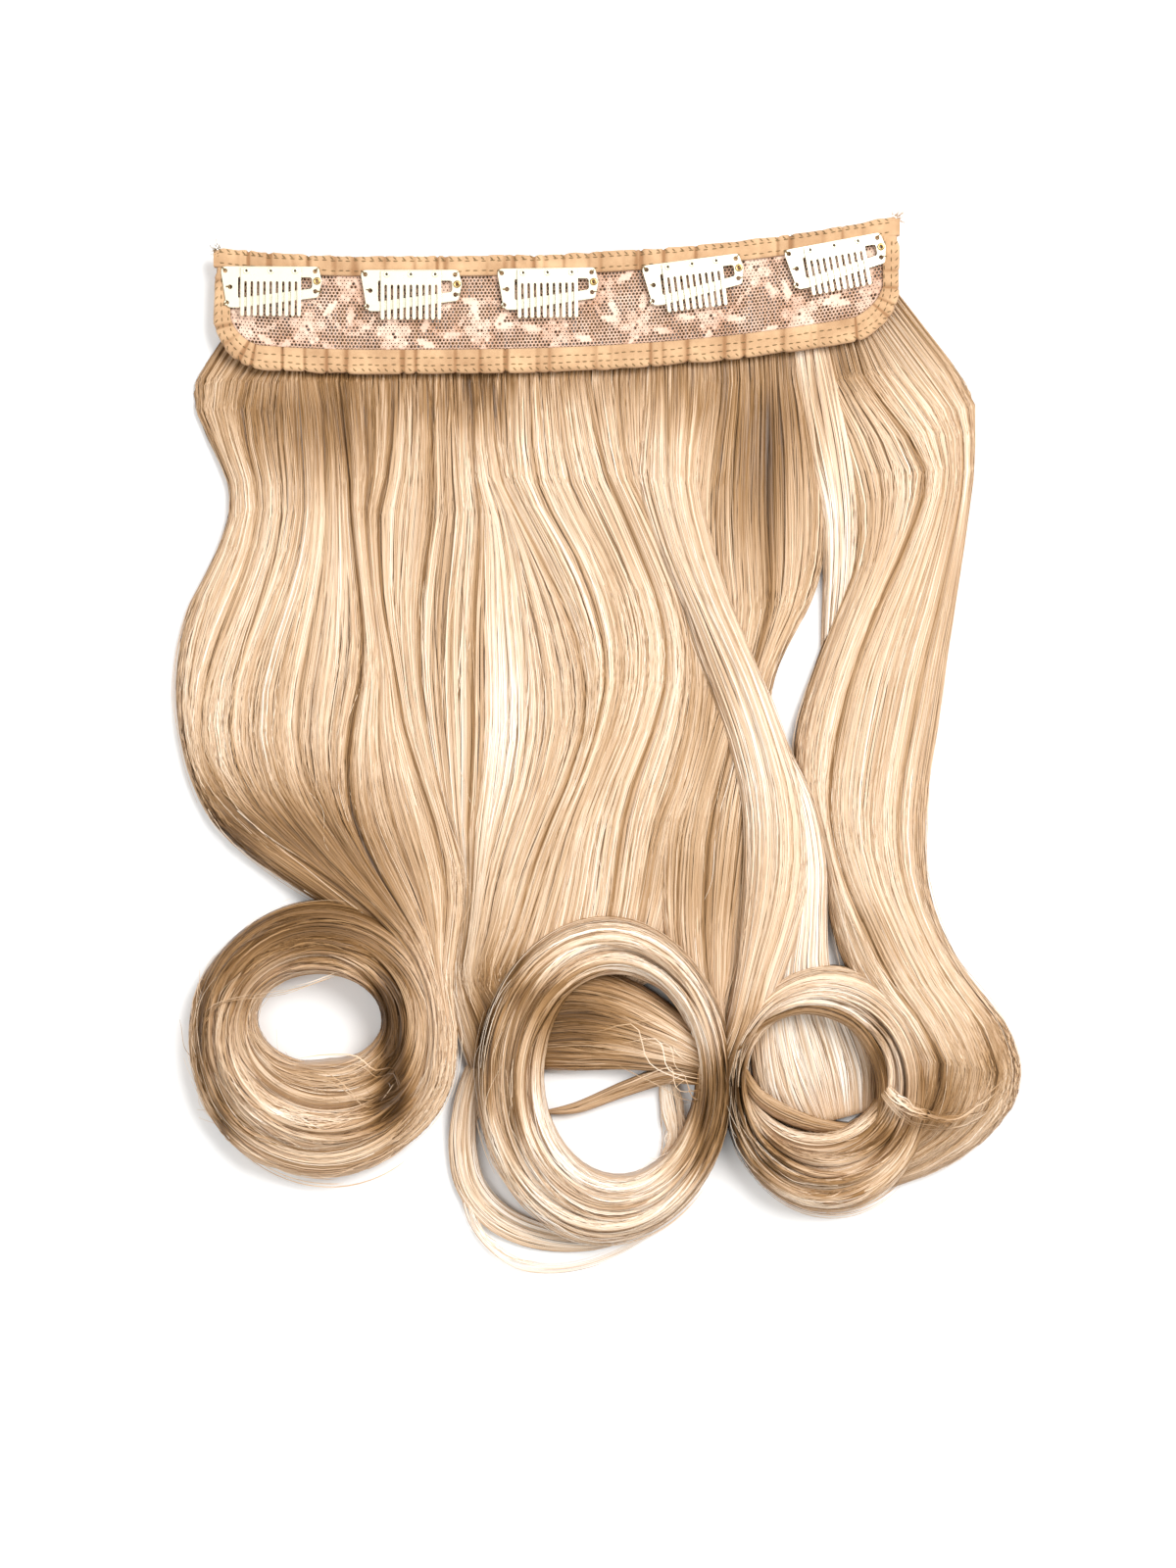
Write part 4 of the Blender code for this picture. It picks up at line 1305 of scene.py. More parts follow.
UNDER_FALL = Fall(
    "under_fall", (4.0, 8.5, 9.0, 9.0, 9.0, 12.0, 9.0), 0.4, 1100, 22, 0.70, 1.2, columns=28, walls=(0.6, 0.0),
    lines=(
        FlowLine((708, 358), (706, 700, 694, 690, 690, 694, 694, 686, 674, 668, 668, 674, 684)),
        FlowLine((740, 354), (742, 738, 732, 730, 732, 738, 738, 724, 706, 694, 690, 690, 698), 0.24),
        FlowLine((782, 351), (784, 784, 784, 784, 786, 786, 770, 752, 734, 724, 720, 718, 722), 0.34),
        FlowLine((826, 347), (828, 838, 844, 846, 842, 826, 792, 784, 782, 778, 772, 764, 756), 0.2),
    ),
    tails=(
        ((704, 1030), (722, 1060), (734, 1090), (736, 1120), (728, 1150)),
        ((742, 1030), (746, 1060), (748, 1090), (746, 1120), (740, 1150)),
    ),
)

CROSSING_FALL = Fall(
    "crossing_fall", (4.4, 10.5, 14.5, 15.5, 16.0, 18.0, 16.0), 2.0, 1300, 23, 0.77, 1.0, columns=24,
    lines=(
        FlowLine((656, 362), (655, 652, 645, 655, 672, 694, 712, 735, 752, 757, 755, 752, 748), 0.42),
        FlowLine((680, 360), (680, 680, 680, 686, 700, 720, 748, 770, 785, 790, 788, 778, 764), 0.16),
        FlowLine((706, 359), (706, 704, 699, 704, 717, 735, 762, 784, 802, 808, 806, 794, 778), 0.26),
        FlowLine((734, 357), (735, 728, 718, 722, 734, 750, 774, 797, 819, 830, 830, 818, 800), 0.2),
    ),
    tails=(
        ((740, 1042), (731, 1085), (727, 1130), (708, 1176), (668, 1206)),
        ((782, 1040), (756, 1082), (748, 1124), (736, 1172), (700, 1214)),
    ),
)

RIGHT_FALL = Fall(
    "right_fall", (4.0, 10.0, 12.5, 12.5, 16.0, 22.5, 5.0), 0.4, 1850, 25, 0.75, 1.2, columns=32,
    lines=(
        FlowLine((826, 345), (832, 847, 862, 873, 873, 855, 832, 814, 812, 834, 842, 850, 870), 0.34),
        FlowLine((868, 330), (885, 918, 945, 938, 918, 895, 872, 856, 846, 848, 862, 884, 908), 0.60),
        FlowLine((886, 322), (930, 960, 968, 962, 948, 932, 912, 899, 889, 886, 896, 916, 940), 0.12),
        FlowLine((900, 312), (958, 980, 983, 978, 968, 957, 942, 930, 919, 916, 922, 940, 966), 0.45),
        FlowLine((914, 290), (989, 997, 996, 991, 984, 976, 967, 959, 949, 946, 948, 963, 992), 0.1),
    ),
    tails=(
        ((902, 1032), (928, 1078), (924, 1128), (892, 1164), (846, 1184)),
        ((1030, 1048), (1043, 1098), (1026, 1144), (970, 1192), (876, 1226)),
    ),
)

CURLS = (
    Curl("left_curl", Ring((325, 1040, 64, 46), (330, 1060, 132, 142), 25.0), 17, 0.72, 3),
    Curl("middle_curl", Ring((630, 1098, 80, 106), (618, 1101, 131, 167), 23.0), 14, 0.83, 4),
    Curl("right_curl", Ring((832, 1096, 70, 64), (846, 1111, 106, 126), 21.0), 15, 0.80, 5),
)

WISPS = (
    Wisp(
        "under_pale", (4.0, 6.2, 7.0, 7.0, 6.0, 5.0, 3.0), 0.3, 260, 20, 0.90, fullness=0.5, ragged=0.3,
        rows=(
            (828, 346, 20), (836, 396, 24), (848, 460, 24), (857, 520, 20), (858, 575, 17), (854, 625, 14),
            (848, 690, 10),
        ),
    ),
    Wisp(
        "curl_fan", (15.0, 17.0, 16.0, 14.0, 12.0, 10.0), 0.6, 620, 20, 0.66, fullness=0.5, ragged=0.3, columns=18,
        rows=(
            (744, 1094, 8), (716, 1080, 18), (678, 1062, 34), (632, 1046, 48), (590, 1040, 54), (548, 1044, 50),
        ),
    ),
    Wisp(
        "curl_tail", (14.0, 12.0, 9.0, 5.0, 2.0), 0.6, 90, 18, 0.62, ragged=0.4,
        rows=((735, 1104, 8), (685, 1098, 9), (640, 1112, 8), (590, 1132, 6), (556, 1137, 2)),
    ),
    Wisp(
        "curl_lining", (4.0, 5.0, 4.0, 2.0), 0.3, 80, 14, 0.86, ragged=0.4, bare=True,
        rows=((682, 1106, 10), (688, 1140, 14), (688, 1170, 13), (676, 1200, 8)),
    ),
    Wisp(
        "stray_loop", (8.0, 6.0, 4.0, 3.0, 2.0), 0.3, 230, 30, 0.90, ragged=0.5, bare=True,
        rows=(
            (484, 1090, 10), (474, 1130, 13), (472, 1175, 15), (482, 1215, 16), (510, 1246, 16), (552, 1264, 14),
            (604, 1270, 9), (650, 1262, 4),
        ),
    ),
    Wisp(
        "stray_arc", (4.0, 3.0, 2.0, 2.0), 0.3, 14, 30, 0.92, ragged=0.5, bare=True,
        rows=((470, 1190, 5), (484, 1250, 6), (524, 1290, 6), (580, 1296, 5), (640, 1276, 5), (700, 1236, 4)),
    ),
    Wisp(
        "right_lining", (9.0, 13.0, 13.0, 11.0, 8.0, 7.0, 7.0, 5.0), 0.3, 620, 24, 0.92, fullness=0.3, ragged=0.2,
        columns=14,
        rows=(
            (792, 760, 10), (812, 820, 20), (820, 880, 25), (818, 940, 27), (812, 1000, 40), (824, 1050, 60),
            (838, 1100, 66), (850, 1145, 50),
        ),
    ),
    Wisp(
        "right_inner", (18.0, 16.0, 12.0, 9.0, 6.0), 0.6, 90, 20, 0.60, ragged=0.4,
        rows=((750, 1082, 7), (772, 1118, 9), (812, 1142, 9), (858, 1153, 7), (905, 1150, 3)),
    ),
    Wisp(
        "right_arc", (20.0, 21.0, 20.0, 18.0), 0.6, 110, 24, 0.56, ragged=0.3,
        rows=(
            (752, 1070, 4), (776, 1042, 7), (820, 1027, 8), (866, 1040, 8), (893, 1075, 8), (900, 1115, 6),
            (890, 1150, 3),
        ),
    ),
    Wisp(
        "left_chords", (26.0, 26.0, 24.0), 22.0, 10, 16, 0.80, ragged=0.8, bare=True, loose_share=0.0,
        rows=((408, 1112, 16), (380, 1104, 30), (330, 1092, 30), (272, 1092, 22)),
    ),
    Wisp(
        "left_stray", (26.0, 27.0, 24.0), 22.0, 5, 16, 0.92, ragged=0.5, bare=True, loose_share=0.0,
        rows=((212, 1040, 4), (232, 1020, 3), (300, 1008, 3), (350, 990, 3)),
    ),
    Wisp(
        "right_chords", (24.0, 25.0, 24.0), 17.0, 22, 18, 0.86, ragged=0.8, bare=True, loose_share=0.0,
        rows=((900, 1108, 14), (930, 1134, 12), (965, 1142, 9), (998, 1130, 9), (1024, 1098, 12)),
    ),
    Wisp(
        "fan_chords", (19.0, 19.0, 18.0), 14.0, 10, 18, 0.80, ragged=0.8, bare=True, loose_share=0.0,
        rows=((742, 1110, 16), (690, 1100, 24), (640, 1060, 34), (590, 1030, 34)),
    ),
)


def joined(parts: list[MeshParts]) -> MeshParts:
    """Puts several meshes into one set of arrays.

    Args:
        parts: Corners, faces and attributes of each.

    Returns:
        Corners, faces and attributes of all.
    """
    starts = np.cumsum([0] + [len(points) for points, _, _ in parts[:-1]])
    points = np.concatenate([p for p, _, _ in parts])
    faces = np.concatenate([f + s for (_, f, _), s in zip(parts, starts)])
    values = {label: np.concatenate([v[label] for _, _, v in parts]) for label in parts[0][2]}
    return points, faces, values


@dataclass
class Hair:
    """All the hair: its body, the strands of each lock and the loose hairs."""

    material: Material
    seed: int = 11
    flyaways: int = 66
    begins: Pair = (0.25, 0.75)
    lengths: Pair = (0.1, 0.3)
    edge_share: float = 0.4
    edge_gap: float = 0.03
    reach: tuple[float, float, float] = (0.0048, 0.0048, 0.0012)
    lift: float = 0.0006
    least_height: float = 0.0004
    tones: Pair = (0.55, 0.90)

    def build(self) -> None:
        """Builds the pieces and fixes them to the band."""
        falls = (LEFT_FALL, CENTRE_FALL, UNDER_FALL, CROSSING_FALL, RIGHT_FALL)
        groups = {fall.name: (fall,) for fall in falls} | {curl.name: curl.locks() for curl in CURLS}
        groups["wisps"] = WISPS
        cores = [lock.core() for locks in groups.values() for lock in locks if not lock.bare]
        points, faces, values = joined(cores)
        body = ride_band(mesh_object("hair_body", points, faces, self.material, **values))
        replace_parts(body, "hair")
        for number, (name, locks) in enumerate(groups.items()):
            rng = np.random.default_rng(self.seed + number)
            points, faces, values = joined([lock.hairs(rng) for lock in locks])
            ride_band(mesh_object(f"{name}_strands", points, faces, self.material, **values))
        self.loose_hairs([*falls, *(groups[curl.name][k] for curl in CURLS for k in (0, 1, 5))])

    def loose_hairs(self, locks: list[Lock]) -> None:
        """Single hairs that stand off the curls and the edges.

        Args:
            locks: The locks that they leave.
        """
        rng = np.random.default_rng(self.seed + 100)
        count, steps = self.flyaways, 20
        parts = []
        for lock in locks:
            begin = rng.uniform(*self.begins, count)
            length = rng.uniform(*self.lengths, count)
            along = np.clip(begin[:, None] + length[:, None] * np.linspace(0, 1, steps), 0, 1)
            edge = np.where(rng.uniform(0, 1, count) < 0.5, self.edge_gap, 1 - self.edge_gap)
            across = np.where(rng.uniform(0, 1, count) < self.edge_share, edge, rng.uniform(0.02, 0.98, count))
            across = np.clip(across[:, None] + drift(rng, count, steps, 3) * 0.05, 0.01, 0.99)
            paths = lock.skin(across, along, self.lift)
            spread = np.stack([drift(rng, count, steps, 4) for _ in range(3)], axis=-1)
            far = rng.uniform(0.3, 1.0, (count, 1, 1)) ** 2 * np.linspace(0, 1, steps)[None, :, None]
            paths = paths + spread * np.array(self.reach) * far
            paths[..., 2] = np.maximum(paths[..., 2], self.least_height)
            half = np.full((count, steps), Thread.FLYAWAY.value) * np.linspace(1.3, 0.5, steps)
            beside = np.cross(np.gradient(paths, axis=1), (0.0, 0.0, 1.0))
            points, faces = ribbons(paths, beside, half, np.zeros(count))
            values = {
                "tone": np.repeat(rng.uniform(*self.tones, count), steps * 2),
                "across": np.repeat(rng.uniform(0, 1, count), steps * 2),
                "along": np.repeat(along.reshape(-1), 2),
                "shade": np.zeros(len(points)),
            }
            parts.append((points, faces, values))
        points, faces, values = joined(parts)
        ride_band(mesh_object("loose_hairs", points, faces, self.material, **values))


@dataclass
class Band:
    """The band's shape: a bowed strip with round lower corners."""

    length: float = BAND_LENGTH
    height: float = BAND_HEIGHT
    corner: float = CORNER_RADIUS

    def rise(self, x: Array) -> Array:
        """How far the middle line rises.

        Args:
            x: Places along the band.

        Returns:
            Heights in metres.
        """
        low = (BOW_LOW_SHARE - 0.5) * self.length
        left = np.clip((low - x) / (low + self.length / 2), 0, None) ** BOW_POWER * BOW_RISE_LEFT
        right = np.clip((x - low) / (self.length / 2 - low), 0, None) ** BOW_POWER * BOW_RISE_RIGHT
        return left + right

    def top_path(self, step: float) -> tuple[Array, Array]:
        """The upper edge from left to right.

        Args:
            step: Distance between points.

        Returns:
            Points on the edge, and the way inwards at each.
        """
        x = np.linspace(-self.length / 2, self.length / 2, int(self.length / step))
        edge = np.stack([x, self.height / 2 + self.rise(x)], axis=1)
        return edge, np.tile([0.0, -1.0], (len(x), 1))

    def lower_path(self, step: float, top: float) -> tuple[Array, Array]:
        """The edge down the right side, along the bottom and up the left side.

        Args:
            step: Distance between points.
            top: Height over the middle line at which it starts and ends.

        Returns:
            Points on the edge, and the way inwards at each.
        """
        half, low, r = self.length / 2, -self.height / 2, self.corner
        down = np.arange(top, low + r, -step)
        turn = np.radians(np.arange(0, -90, -math.degrees(step / r)))
        flat = np.arange(half - r, r - half, -step)
        bends = []
        for middle, turns in ((half - r, turn), (r - half, turn - math.pi / 2)):
            ways = [(math.cos(a), math.sin(a)) for a in turns]
            bends.append([((middle + r * c, low + r + r * s), (-c, -s)) for c, s in ways])
        rows = [((half, y), (-1.0, 0.0)) for y in down] + bends[0]
        rows += [((x, low), (0.0, 1.0)) for x in flat] + bends[1]
        rows += [((-half, y), (1.0, 0.0)) for y in down[::-1]]
        edge, inward = (np.array(part) for part in zip(*rows))
        edge[:, 1] += self.rise(edge[:, 0])
        return edge, inward


@dataclass
class Tape:
    """A folded and stitched tape along an edge of the band."""

    name: str
    node: str
    edge: Array
    inward: Array
    widths: Array
    stitch_rows: tuple[float, ...]
    material: Material
    thread: Material
    seed: int
    flat: Pair
    stitch_pitch: float = 0.0029
    stitch_length: float = 0.0019
    whip: tuple[float, float, float] = (0.0006, 0.0012, 0.0011)
    stitch_rise: tuple[float, ...] = (-0.0001, 0.00012, 0.0002, 0.00012, -0.0001)
    stitch_taper: tuple[float, ...] = (0.35, 0.9, 1.0, 0.9, 0.35)
    gather_pitch: float = 0.0055
    gather_swing: float = 0.004
    gather_widths: Pair = (0.0003, 0.0008)
    gather_depth: float = 0.0007
    end_round: float = 0.0040
    crown: float = 0.00022
    sink: float = 0.0002
    swell: float = 0.0002
    ragged: float = 0.0003
    row_shares: Pair = (0.3, 0.75)
    row_width: float = 0.06
    row_depth: float = 0.00016
    fold_degrees: tuple[float, ...] = (-90, -55, -20, 20, 55)
    face_shares: tuple[float, ...] = (0.16, 0.3, 0.45, 0.6, 0.75, 0.88, 0.97)
    wall: float = 0.0012
    hem: tuple[float, float, float] = (0.0007, 0.0010, 0.0012)
    back: Pair = (0.0009, 0.0008)

    def creases(self) -> Array:
        """How deep the tape is gathered at each point of its edge.

        Returns:
            Depths from 0 to 1.
        """
        rng = np.random.default_rng(self.seed)
        run = self.run()
        depth = np.zeros(len(run))
        for centre in np.arange(self.gather_pitch, run[-1], self.gather_pitch):
            place = centre + rng.uniform(-self.gather_swing, self.gather_swing)
            wide = rng.uniform(*self.gather_widths)
            depth += rng.uniform(0.1, 1.05) ** 2.2 * np.exp(-(((run - place) / wide) ** 2))
        return np.clip(depth, 0, 1)

    def run(self) -> Array:
        """Distance along the edge to each point."""
        return np.concatenate([[0], np.cumsum(np.linalg.norm(np.diff(self.edge, axis=0), axis=1))])

    def top(self, share: Array | float, crease: Array, wave: Array) -> Array:
        """Height of the tape's upper face.

        Args:
            share: Place from the edge inwards, 0 to 1.
            crease: Depth of gather at each point.
            wave: Slow swell at each point.

        Returns:
            Heights in metres.
        """
        crown = self.crown * np.sin(np.pi * share)
        rows = sum(np.exp(-(((share - d) / self.row_width) ** 2)) for d in self.row_shares)
        sewn = BAND_TOP_LEVEL - self.sink + crown - self.row_depth * rows
        return sewn + self.swell * wave - self.gather_depth * crease

    def build(self) -> None:
        """Builds the tape and its stitches."""
        rng = np.random.default_rng(self.seed + 1)
        crease = self.creases()
        wave = drift(rng, 1, len(self.edge), 40)[0]
        ragged = drift(rng, 1, len(self.edge), 60)[0] * self.ragged
        fold = (BAND_TOP_LEVEL - BACK_LEVEL) / 2
        middle = BACK_LEVEL + fold
        run = self.run()
        rounded = np.clip(1 - np.minimum(run, run[-1] - run) / self.end_round, 0, 1) ** 2 * self.end_round * 0.6
        columns = []
        for turn in np.radians(self.fold_degrees):
            inset = fold * 0.7 * (1 - math.cos(turn)) + ragged + 0.0009 * crease + rounded
            columns.append((inset, middle + fold * math.sin(turn) * (1 - 0.12 * crease)))
        for share in self.face_shares:
            columns.append((self.widths * share + ragged * (1 - share), self.top(share, crease, wave)))
        wall = np.full(len(wave), self.wall)
        under = [BAND_TOP_LEVEL - depth for depth in self.hem]
        back = [BACK_LEVEL + thick for thick in self.back] + [BACK_LEVEL]
        insets = (self.widths, self.widths * 0.5, wall, wall, self.widths, self.widths)
        columns += [(inset, np.full(len(wave), level)) for inset, level in zip(insets, under + back)]
        rings = []
        for inset, high in columns:
            flat = self.edge + self.inward * np.asarray(inset)[:, None]
            rings.append(np.concatenate([flat, np.asarray(high)[:, None]], axis=1))
        points = np.stack(rings, axis=1)
        count, around = points.shape[:2]
        faces = grid_faces(count, around, True)
        # The gathered creases are darkened through this attribute: painted shade
        dip = np.repeat(np.clip(crease * 1.2 - 0.06, -0.1, 1), around)
        piece = mesh_object(self.name, points.reshape(-1, 3), faces, self.material, dip=dip)
        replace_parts(ride_band(piece), self.node)
        self.stitch(rng, crease, wave)

    def stitch(self, rng: np.random.Generator, crease: Array, wave: Array) -> None:
        """Sews the rows of stitches.

        Args:
            rng: The seeded source of chance.
            crease: Depth of gather at each point.
            wave: Slow swell at each point.
        """
        run = self.run()
        paths = []
        rows = [(inset, self.stitch_length, 0.0) for inset in self.stitch_rows] + [self.whip]
        for inset, length, slope in rows:
            starts = np.arange(0.002, run[-1] - 0.003, self.stitch_pitch)
            for start in starts + rng.uniform(-0.0003, 0.0003, len(starts)):
                place = start + length * np.linspace(0, 1, 5)
                off = inset + rng.uniform(-0.0002, 0.0002) + slope * np.linspace(0, 1, 5)
                x, y, ix, iy, w, c, s = (
                    np.interp(place, run, v)
                    for v in (*self.edge.T, *self.inward.T, self.widths, crease, wave)
                )
                high = self.top(off / w, c, s) + np.array(self.stitch_rise)
                paths.append(np.stack([x + ix * off, y + iy * off, high], axis=1))
        paths = np.array(paths)
        radii = np.tile(np.array(self.stitch_taper) * Thread.STITCH.value, (len(paths), 1))
        points, faces = tubes(paths, radii, 5)
        ride_band(mesh_object(f"{self.name}_stitches", points, faces, self.thread))


@dataclass
class Fray:
    """The frayed threads at one upper corner of the band."""

    name: str
    corner: Pair
    away: float
    material: Material
    seed: int
    threads: int = 34
    reach: float = 0.0045
    spread_degrees: float = 42
    curl: float = 0.9
    root_swing: float = 0.0016
    root_depth: float = 0.0008
    rise: float = 0.0010
    thin_share: float = 0.55

    def build(self) -> None:
        """Builds the threads, which start under the tape and curl outwards."""
        rng = np.random.default_rng(self.seed)
        steps = 9
        share = np.linspace(0, 1, steps)
        way = np.radians(self.away + rng.normal(0, self.spread_degrees, self.threads))[:, None]
        way = way + drift(rng, self.threads, steps, 4) * self.curl
        length = self.reach * rng.uniform(0.3, 1.0, self.threads) ** 1.6 / steps
        start = np.array(self.corner) + rng.uniform(-self.root_swing, self.root_swing, (self.threads, 2))
        x = start[:, :1] + np.cumsum(np.cos(way), axis=1) * length[:, None]
        y = start[:, 1:] + np.cumsum(np.sin(way), axis=1) * length[:, None]
        rise = self.rise * np.sin(np.pi * share) * rng.uniform(0.2, 1.0, (self.threads, 1))
        z = BAND_TOP_LEVEL - self.root_depth + rise
        radii = np.full((self.threads, steps), Thread.STITCH.value * self.thin_share) * np.linspace(1, 0.5, steps)
        points, faces = tubes(np.stack([x, y, z], axis=-1), radii, 3)
        ride_band(mesh_object(self.name, points, faces, self.material))


@dataclass
class Lace:
    """The net of the band, cut cell by cell, closed where its flowers lie."""

    band: Band
    material: Material
    cell: float = 0.00076
    inset: float = 0.0042
    thread_share: float = 0.29
    closed_from: float = 0.80
    blossoms: int = 17
    seed: int = 5
    blossom_sizes: Pair = (0.0050, 0.0078)
    petals: int = 5
    petal_edge: float = 0.0018
    eye: float = 0.0011
    leaves: int = 4
    leaf_away: Pair = (1.75, 1.5)
    leaf_size: Pair = (0.0042, 0.0015)
    stem_half: float = 0.0008
    stem_swing: float = 0.006

    def flowers(self, x: Array, y: Array) -> Array:
        """How closely the net is filled, by blossoms, leaves and a trailing stem.

        Args:
            x: Places along the band.
            y: Places over its middle line.

        Returns:
            Amounts, over 0.5 where the net is closed.
        """
        rng = np.random.default_rng(self.seed)
        fill = np.zeros_like(x)
        for number in range(self.blossoms):
            cx = ((number + 0.5 + rng.uniform(-0.2, 0.2)) / self.blossoms - 0.5) * self.band.length
            cy = (0.2 if number % 2 else -0.17) * self.band.height + rng.uniform(-0.002, 0.002)
            size = rng.uniform(*self.blossom_sizes)
            turn = rng.uniform(0, math.tau)
            far, way = np.hypot(x - cx, y - cy), np.arctan2(y - cy, x - cx)
            petal = size * (0.55 + 0.45 * np.abs(np.cos(self.petals / 2 * (way - turn))))
            vein = 0.62 + 0.38 * np.abs(np.sin(1.5 * self.petals * (way - turn)) * np.cos(far / size * 3.0))
            inside = np.clip((petal - far) / self.petal_edge + 0.5, 0, 1)
            fill = np.maximum(fill, inside * (far > self.eye) * vein)
            for leaf in range(self.leaves):
                lean = turn + 0.8 + leaf * 1.6
                away_x, away_y = self.leaf_away
                lx, ly = cx + away_x * size * math.cos(lean), cy + away_y * size * math.sin(lean)
                u = (x - lx) * math.cos(lean) + (y - ly) * math.sin(lean)
                v = -(x - lx) * math.sin(lean) + (y - ly) * math.cos(lean)
                inside = 1 - (u / self.leaf_size[0]) ** 2 - (v / self.leaf_size[1]) ** 2
                fill = np.maximum(fill, np.clip(inside + 0.4, 0, 1) * (0.7 + 0.3 * np.abs(np.sin(u * 2600))))
        stem = np.abs(y - self.stem_swing * np.sin(x * 190) + 0.001)
        return np.maximum(fill, 0.7 * np.clip((self.stem_half - stem) / self.stem_half + 0.5, 0, 1))

    def build(self) -> None:
        step_x, step_y = self.cell * math.sqrt(3), self.cell * 1.5
        half, high = self.band.length / 2 - self.inset, self.band.height / 2 - self.inset
        rows = np.arange(-high, high, step_y)
        centres = []
        for number, y in enumerate(rows):
            x = np.arange(-half + (number % 2) * step_x / 2, half, step_x)
            centres.append(np.stack([x, np.full(len(x), y)], axis=1))
        centre = np.concatenate(centres)
        reach = self.band.corner - self.inset
        corner = np.hypot(np.abs(centre[:, 0]) - half + reach, centre[:, 1] + high - reach)
        in_corner = (np.abs(centre[:, 0]) > half - reach) & (centre[:, 1] < -high + reach)
        centre = centre[~in_corner | (corner < reach)]
        fill = self.flowers(centre[:, 0], centre[:, 1])
        closed = fill > self.closed_from
        rng = np.random.default_rng(self.seed + 1)
        turns = np.radians(60 * np.arange(6) + 30)
        ring = np.stack([np.cos(turns), np.sin(turns)], axis=1) * self.cell
        outer = centre[:, None] + ring
        share = (1 - self.thread_share) * (1 - 0.78 * fill) * rng.uniform(0.88, 1.1, len(centre))
        inner = centre[:, None] + ring * share[:, None, None]
        lift = fill * 0.00022 + rng.uniform(-0.00004, 0.00004, len(centre))
        meshes = []
        net = ~closed
        count = int(net.sum())
        points = np.concatenate([outer[net], inner[net]], axis=1)
        height = np.repeat(lift[net], 12)
        one = np.array([[i, (i + 1) % 6, 6 + (i + 1) % 6, 6 + i] for i in range(6)])
        faces = (one[None] + 12 * np.arange(count)[:, None, None]).reshape(-1, 4)
        rim = np.exp(-(((fill - 0.4) / 0.22) ** 2))
        dip = np.repeat(0.16 + 0.26 * rim[net] - 0.3 * fill[net], 12)
        meshes.append((self.raised(points.reshape(-1, 2), height), faces, {"dip": dip}))
        count = int(closed.sum())
        one = np.array([[0, 1, 2, 3], [3, 4, 5, 0]])
        faces = (one[None] + 6 * np.arange(count)[:, None, None]).reshape(-1, 4)
        solid = self.raised(outer[closed].reshape(-1, 2), np.repeat(lift[closed], 6))
        meshes.append((solid, faces, {"dip": np.repeat(0.1 - 0.3 * fill[closed], 6)}))
        points, faces, values = joined(meshes)
        piece = mesh_object("lace_net", points, faces, self.material, **values)
        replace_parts(ride_band(piece), "lace_panel")

    def raised(self, flat: Array, lift: Array) -> Array:
        """Lays the net on the bowed band.

        Args:
            flat: Places of shape (count, 2).
            lift: Height of each over the net.

        Returns:
            Points of shape (count, 3).
        """
        swell = 0.0002 * np.sin(flat[:, 0] * 160) * np.sin(flat[:, 1] * 220)
        y = flat[:, 1] + self.band.rise(flat[:, 0])
        return np.stack([flat[:, 0], y, LACE_LEVEL + lift + swell], axis=1)


@dataclass
class Weft:
    """The sewn rows of hair that show through the net and below the tape."""

    band: Band
    hair: Material
    seed: int = 21
    strands: int = 620
    end_gap: float = 0.005
    row_gap: float = 0.007
    ragged: float = 0.0008
    corner_reach: float = 0.016
    lowest: float = 0.004
    level: float = 0.0071
    depth: float = 0.0007
    tones: Pair = (0.30, 0.70)
    # Painted shade of the hair that lies behind the net
    shade: float = 0.42

    def build(self) -> None:
        """Builds the rows of short hair behind the net."""
        rng = np.random.default_rng(self.seed)
        steps = 5
        half = self.band.length / 2
        x = np.linspace(-half + self.end_gap, half - self.end_gap, self.strands)
        x = x[:, None] + drift(rng, self.strands, steps, 3) * 0.0006
        reach = np.linspace(0.5, -0.5, steps) * (self.band.height - self.row_gap)
        y = self.band.rise(x) + reach[None] + rng.uniform(-self.ragged, self.ragged, (self.strands, 1))
        corner = np.clip(np.abs(x) - (half - self.corner_reach), 0, None)
        y = np.maximum(y, self.band.rise(x) - self.band.height / 2 + self.lowest + corner * 0.7)
        z = self.level + rng.uniform(0, self.depth, (self.strands, 1)) + 0 * x
        radii = np.full((self.strands, steps), Thread.BODY.value * 0.9)
        points, faces = tubes(np.stack([x, y, z], axis=-1), radii, 3)
        values = {
            "tone": np.repeat(rng.uniform(*self.tones, self.strands), steps * 3),
            "across": np.repeat(rng.uniform(0, 1, self.strands), steps * 3),
            "along": np.repeat(reach[None] + 0 * x, 3),
            "shade": np.full(len(points), self.shade),
        }
        ride_band(mesh_object("weft_rows", points, faces, self.hair, **values))


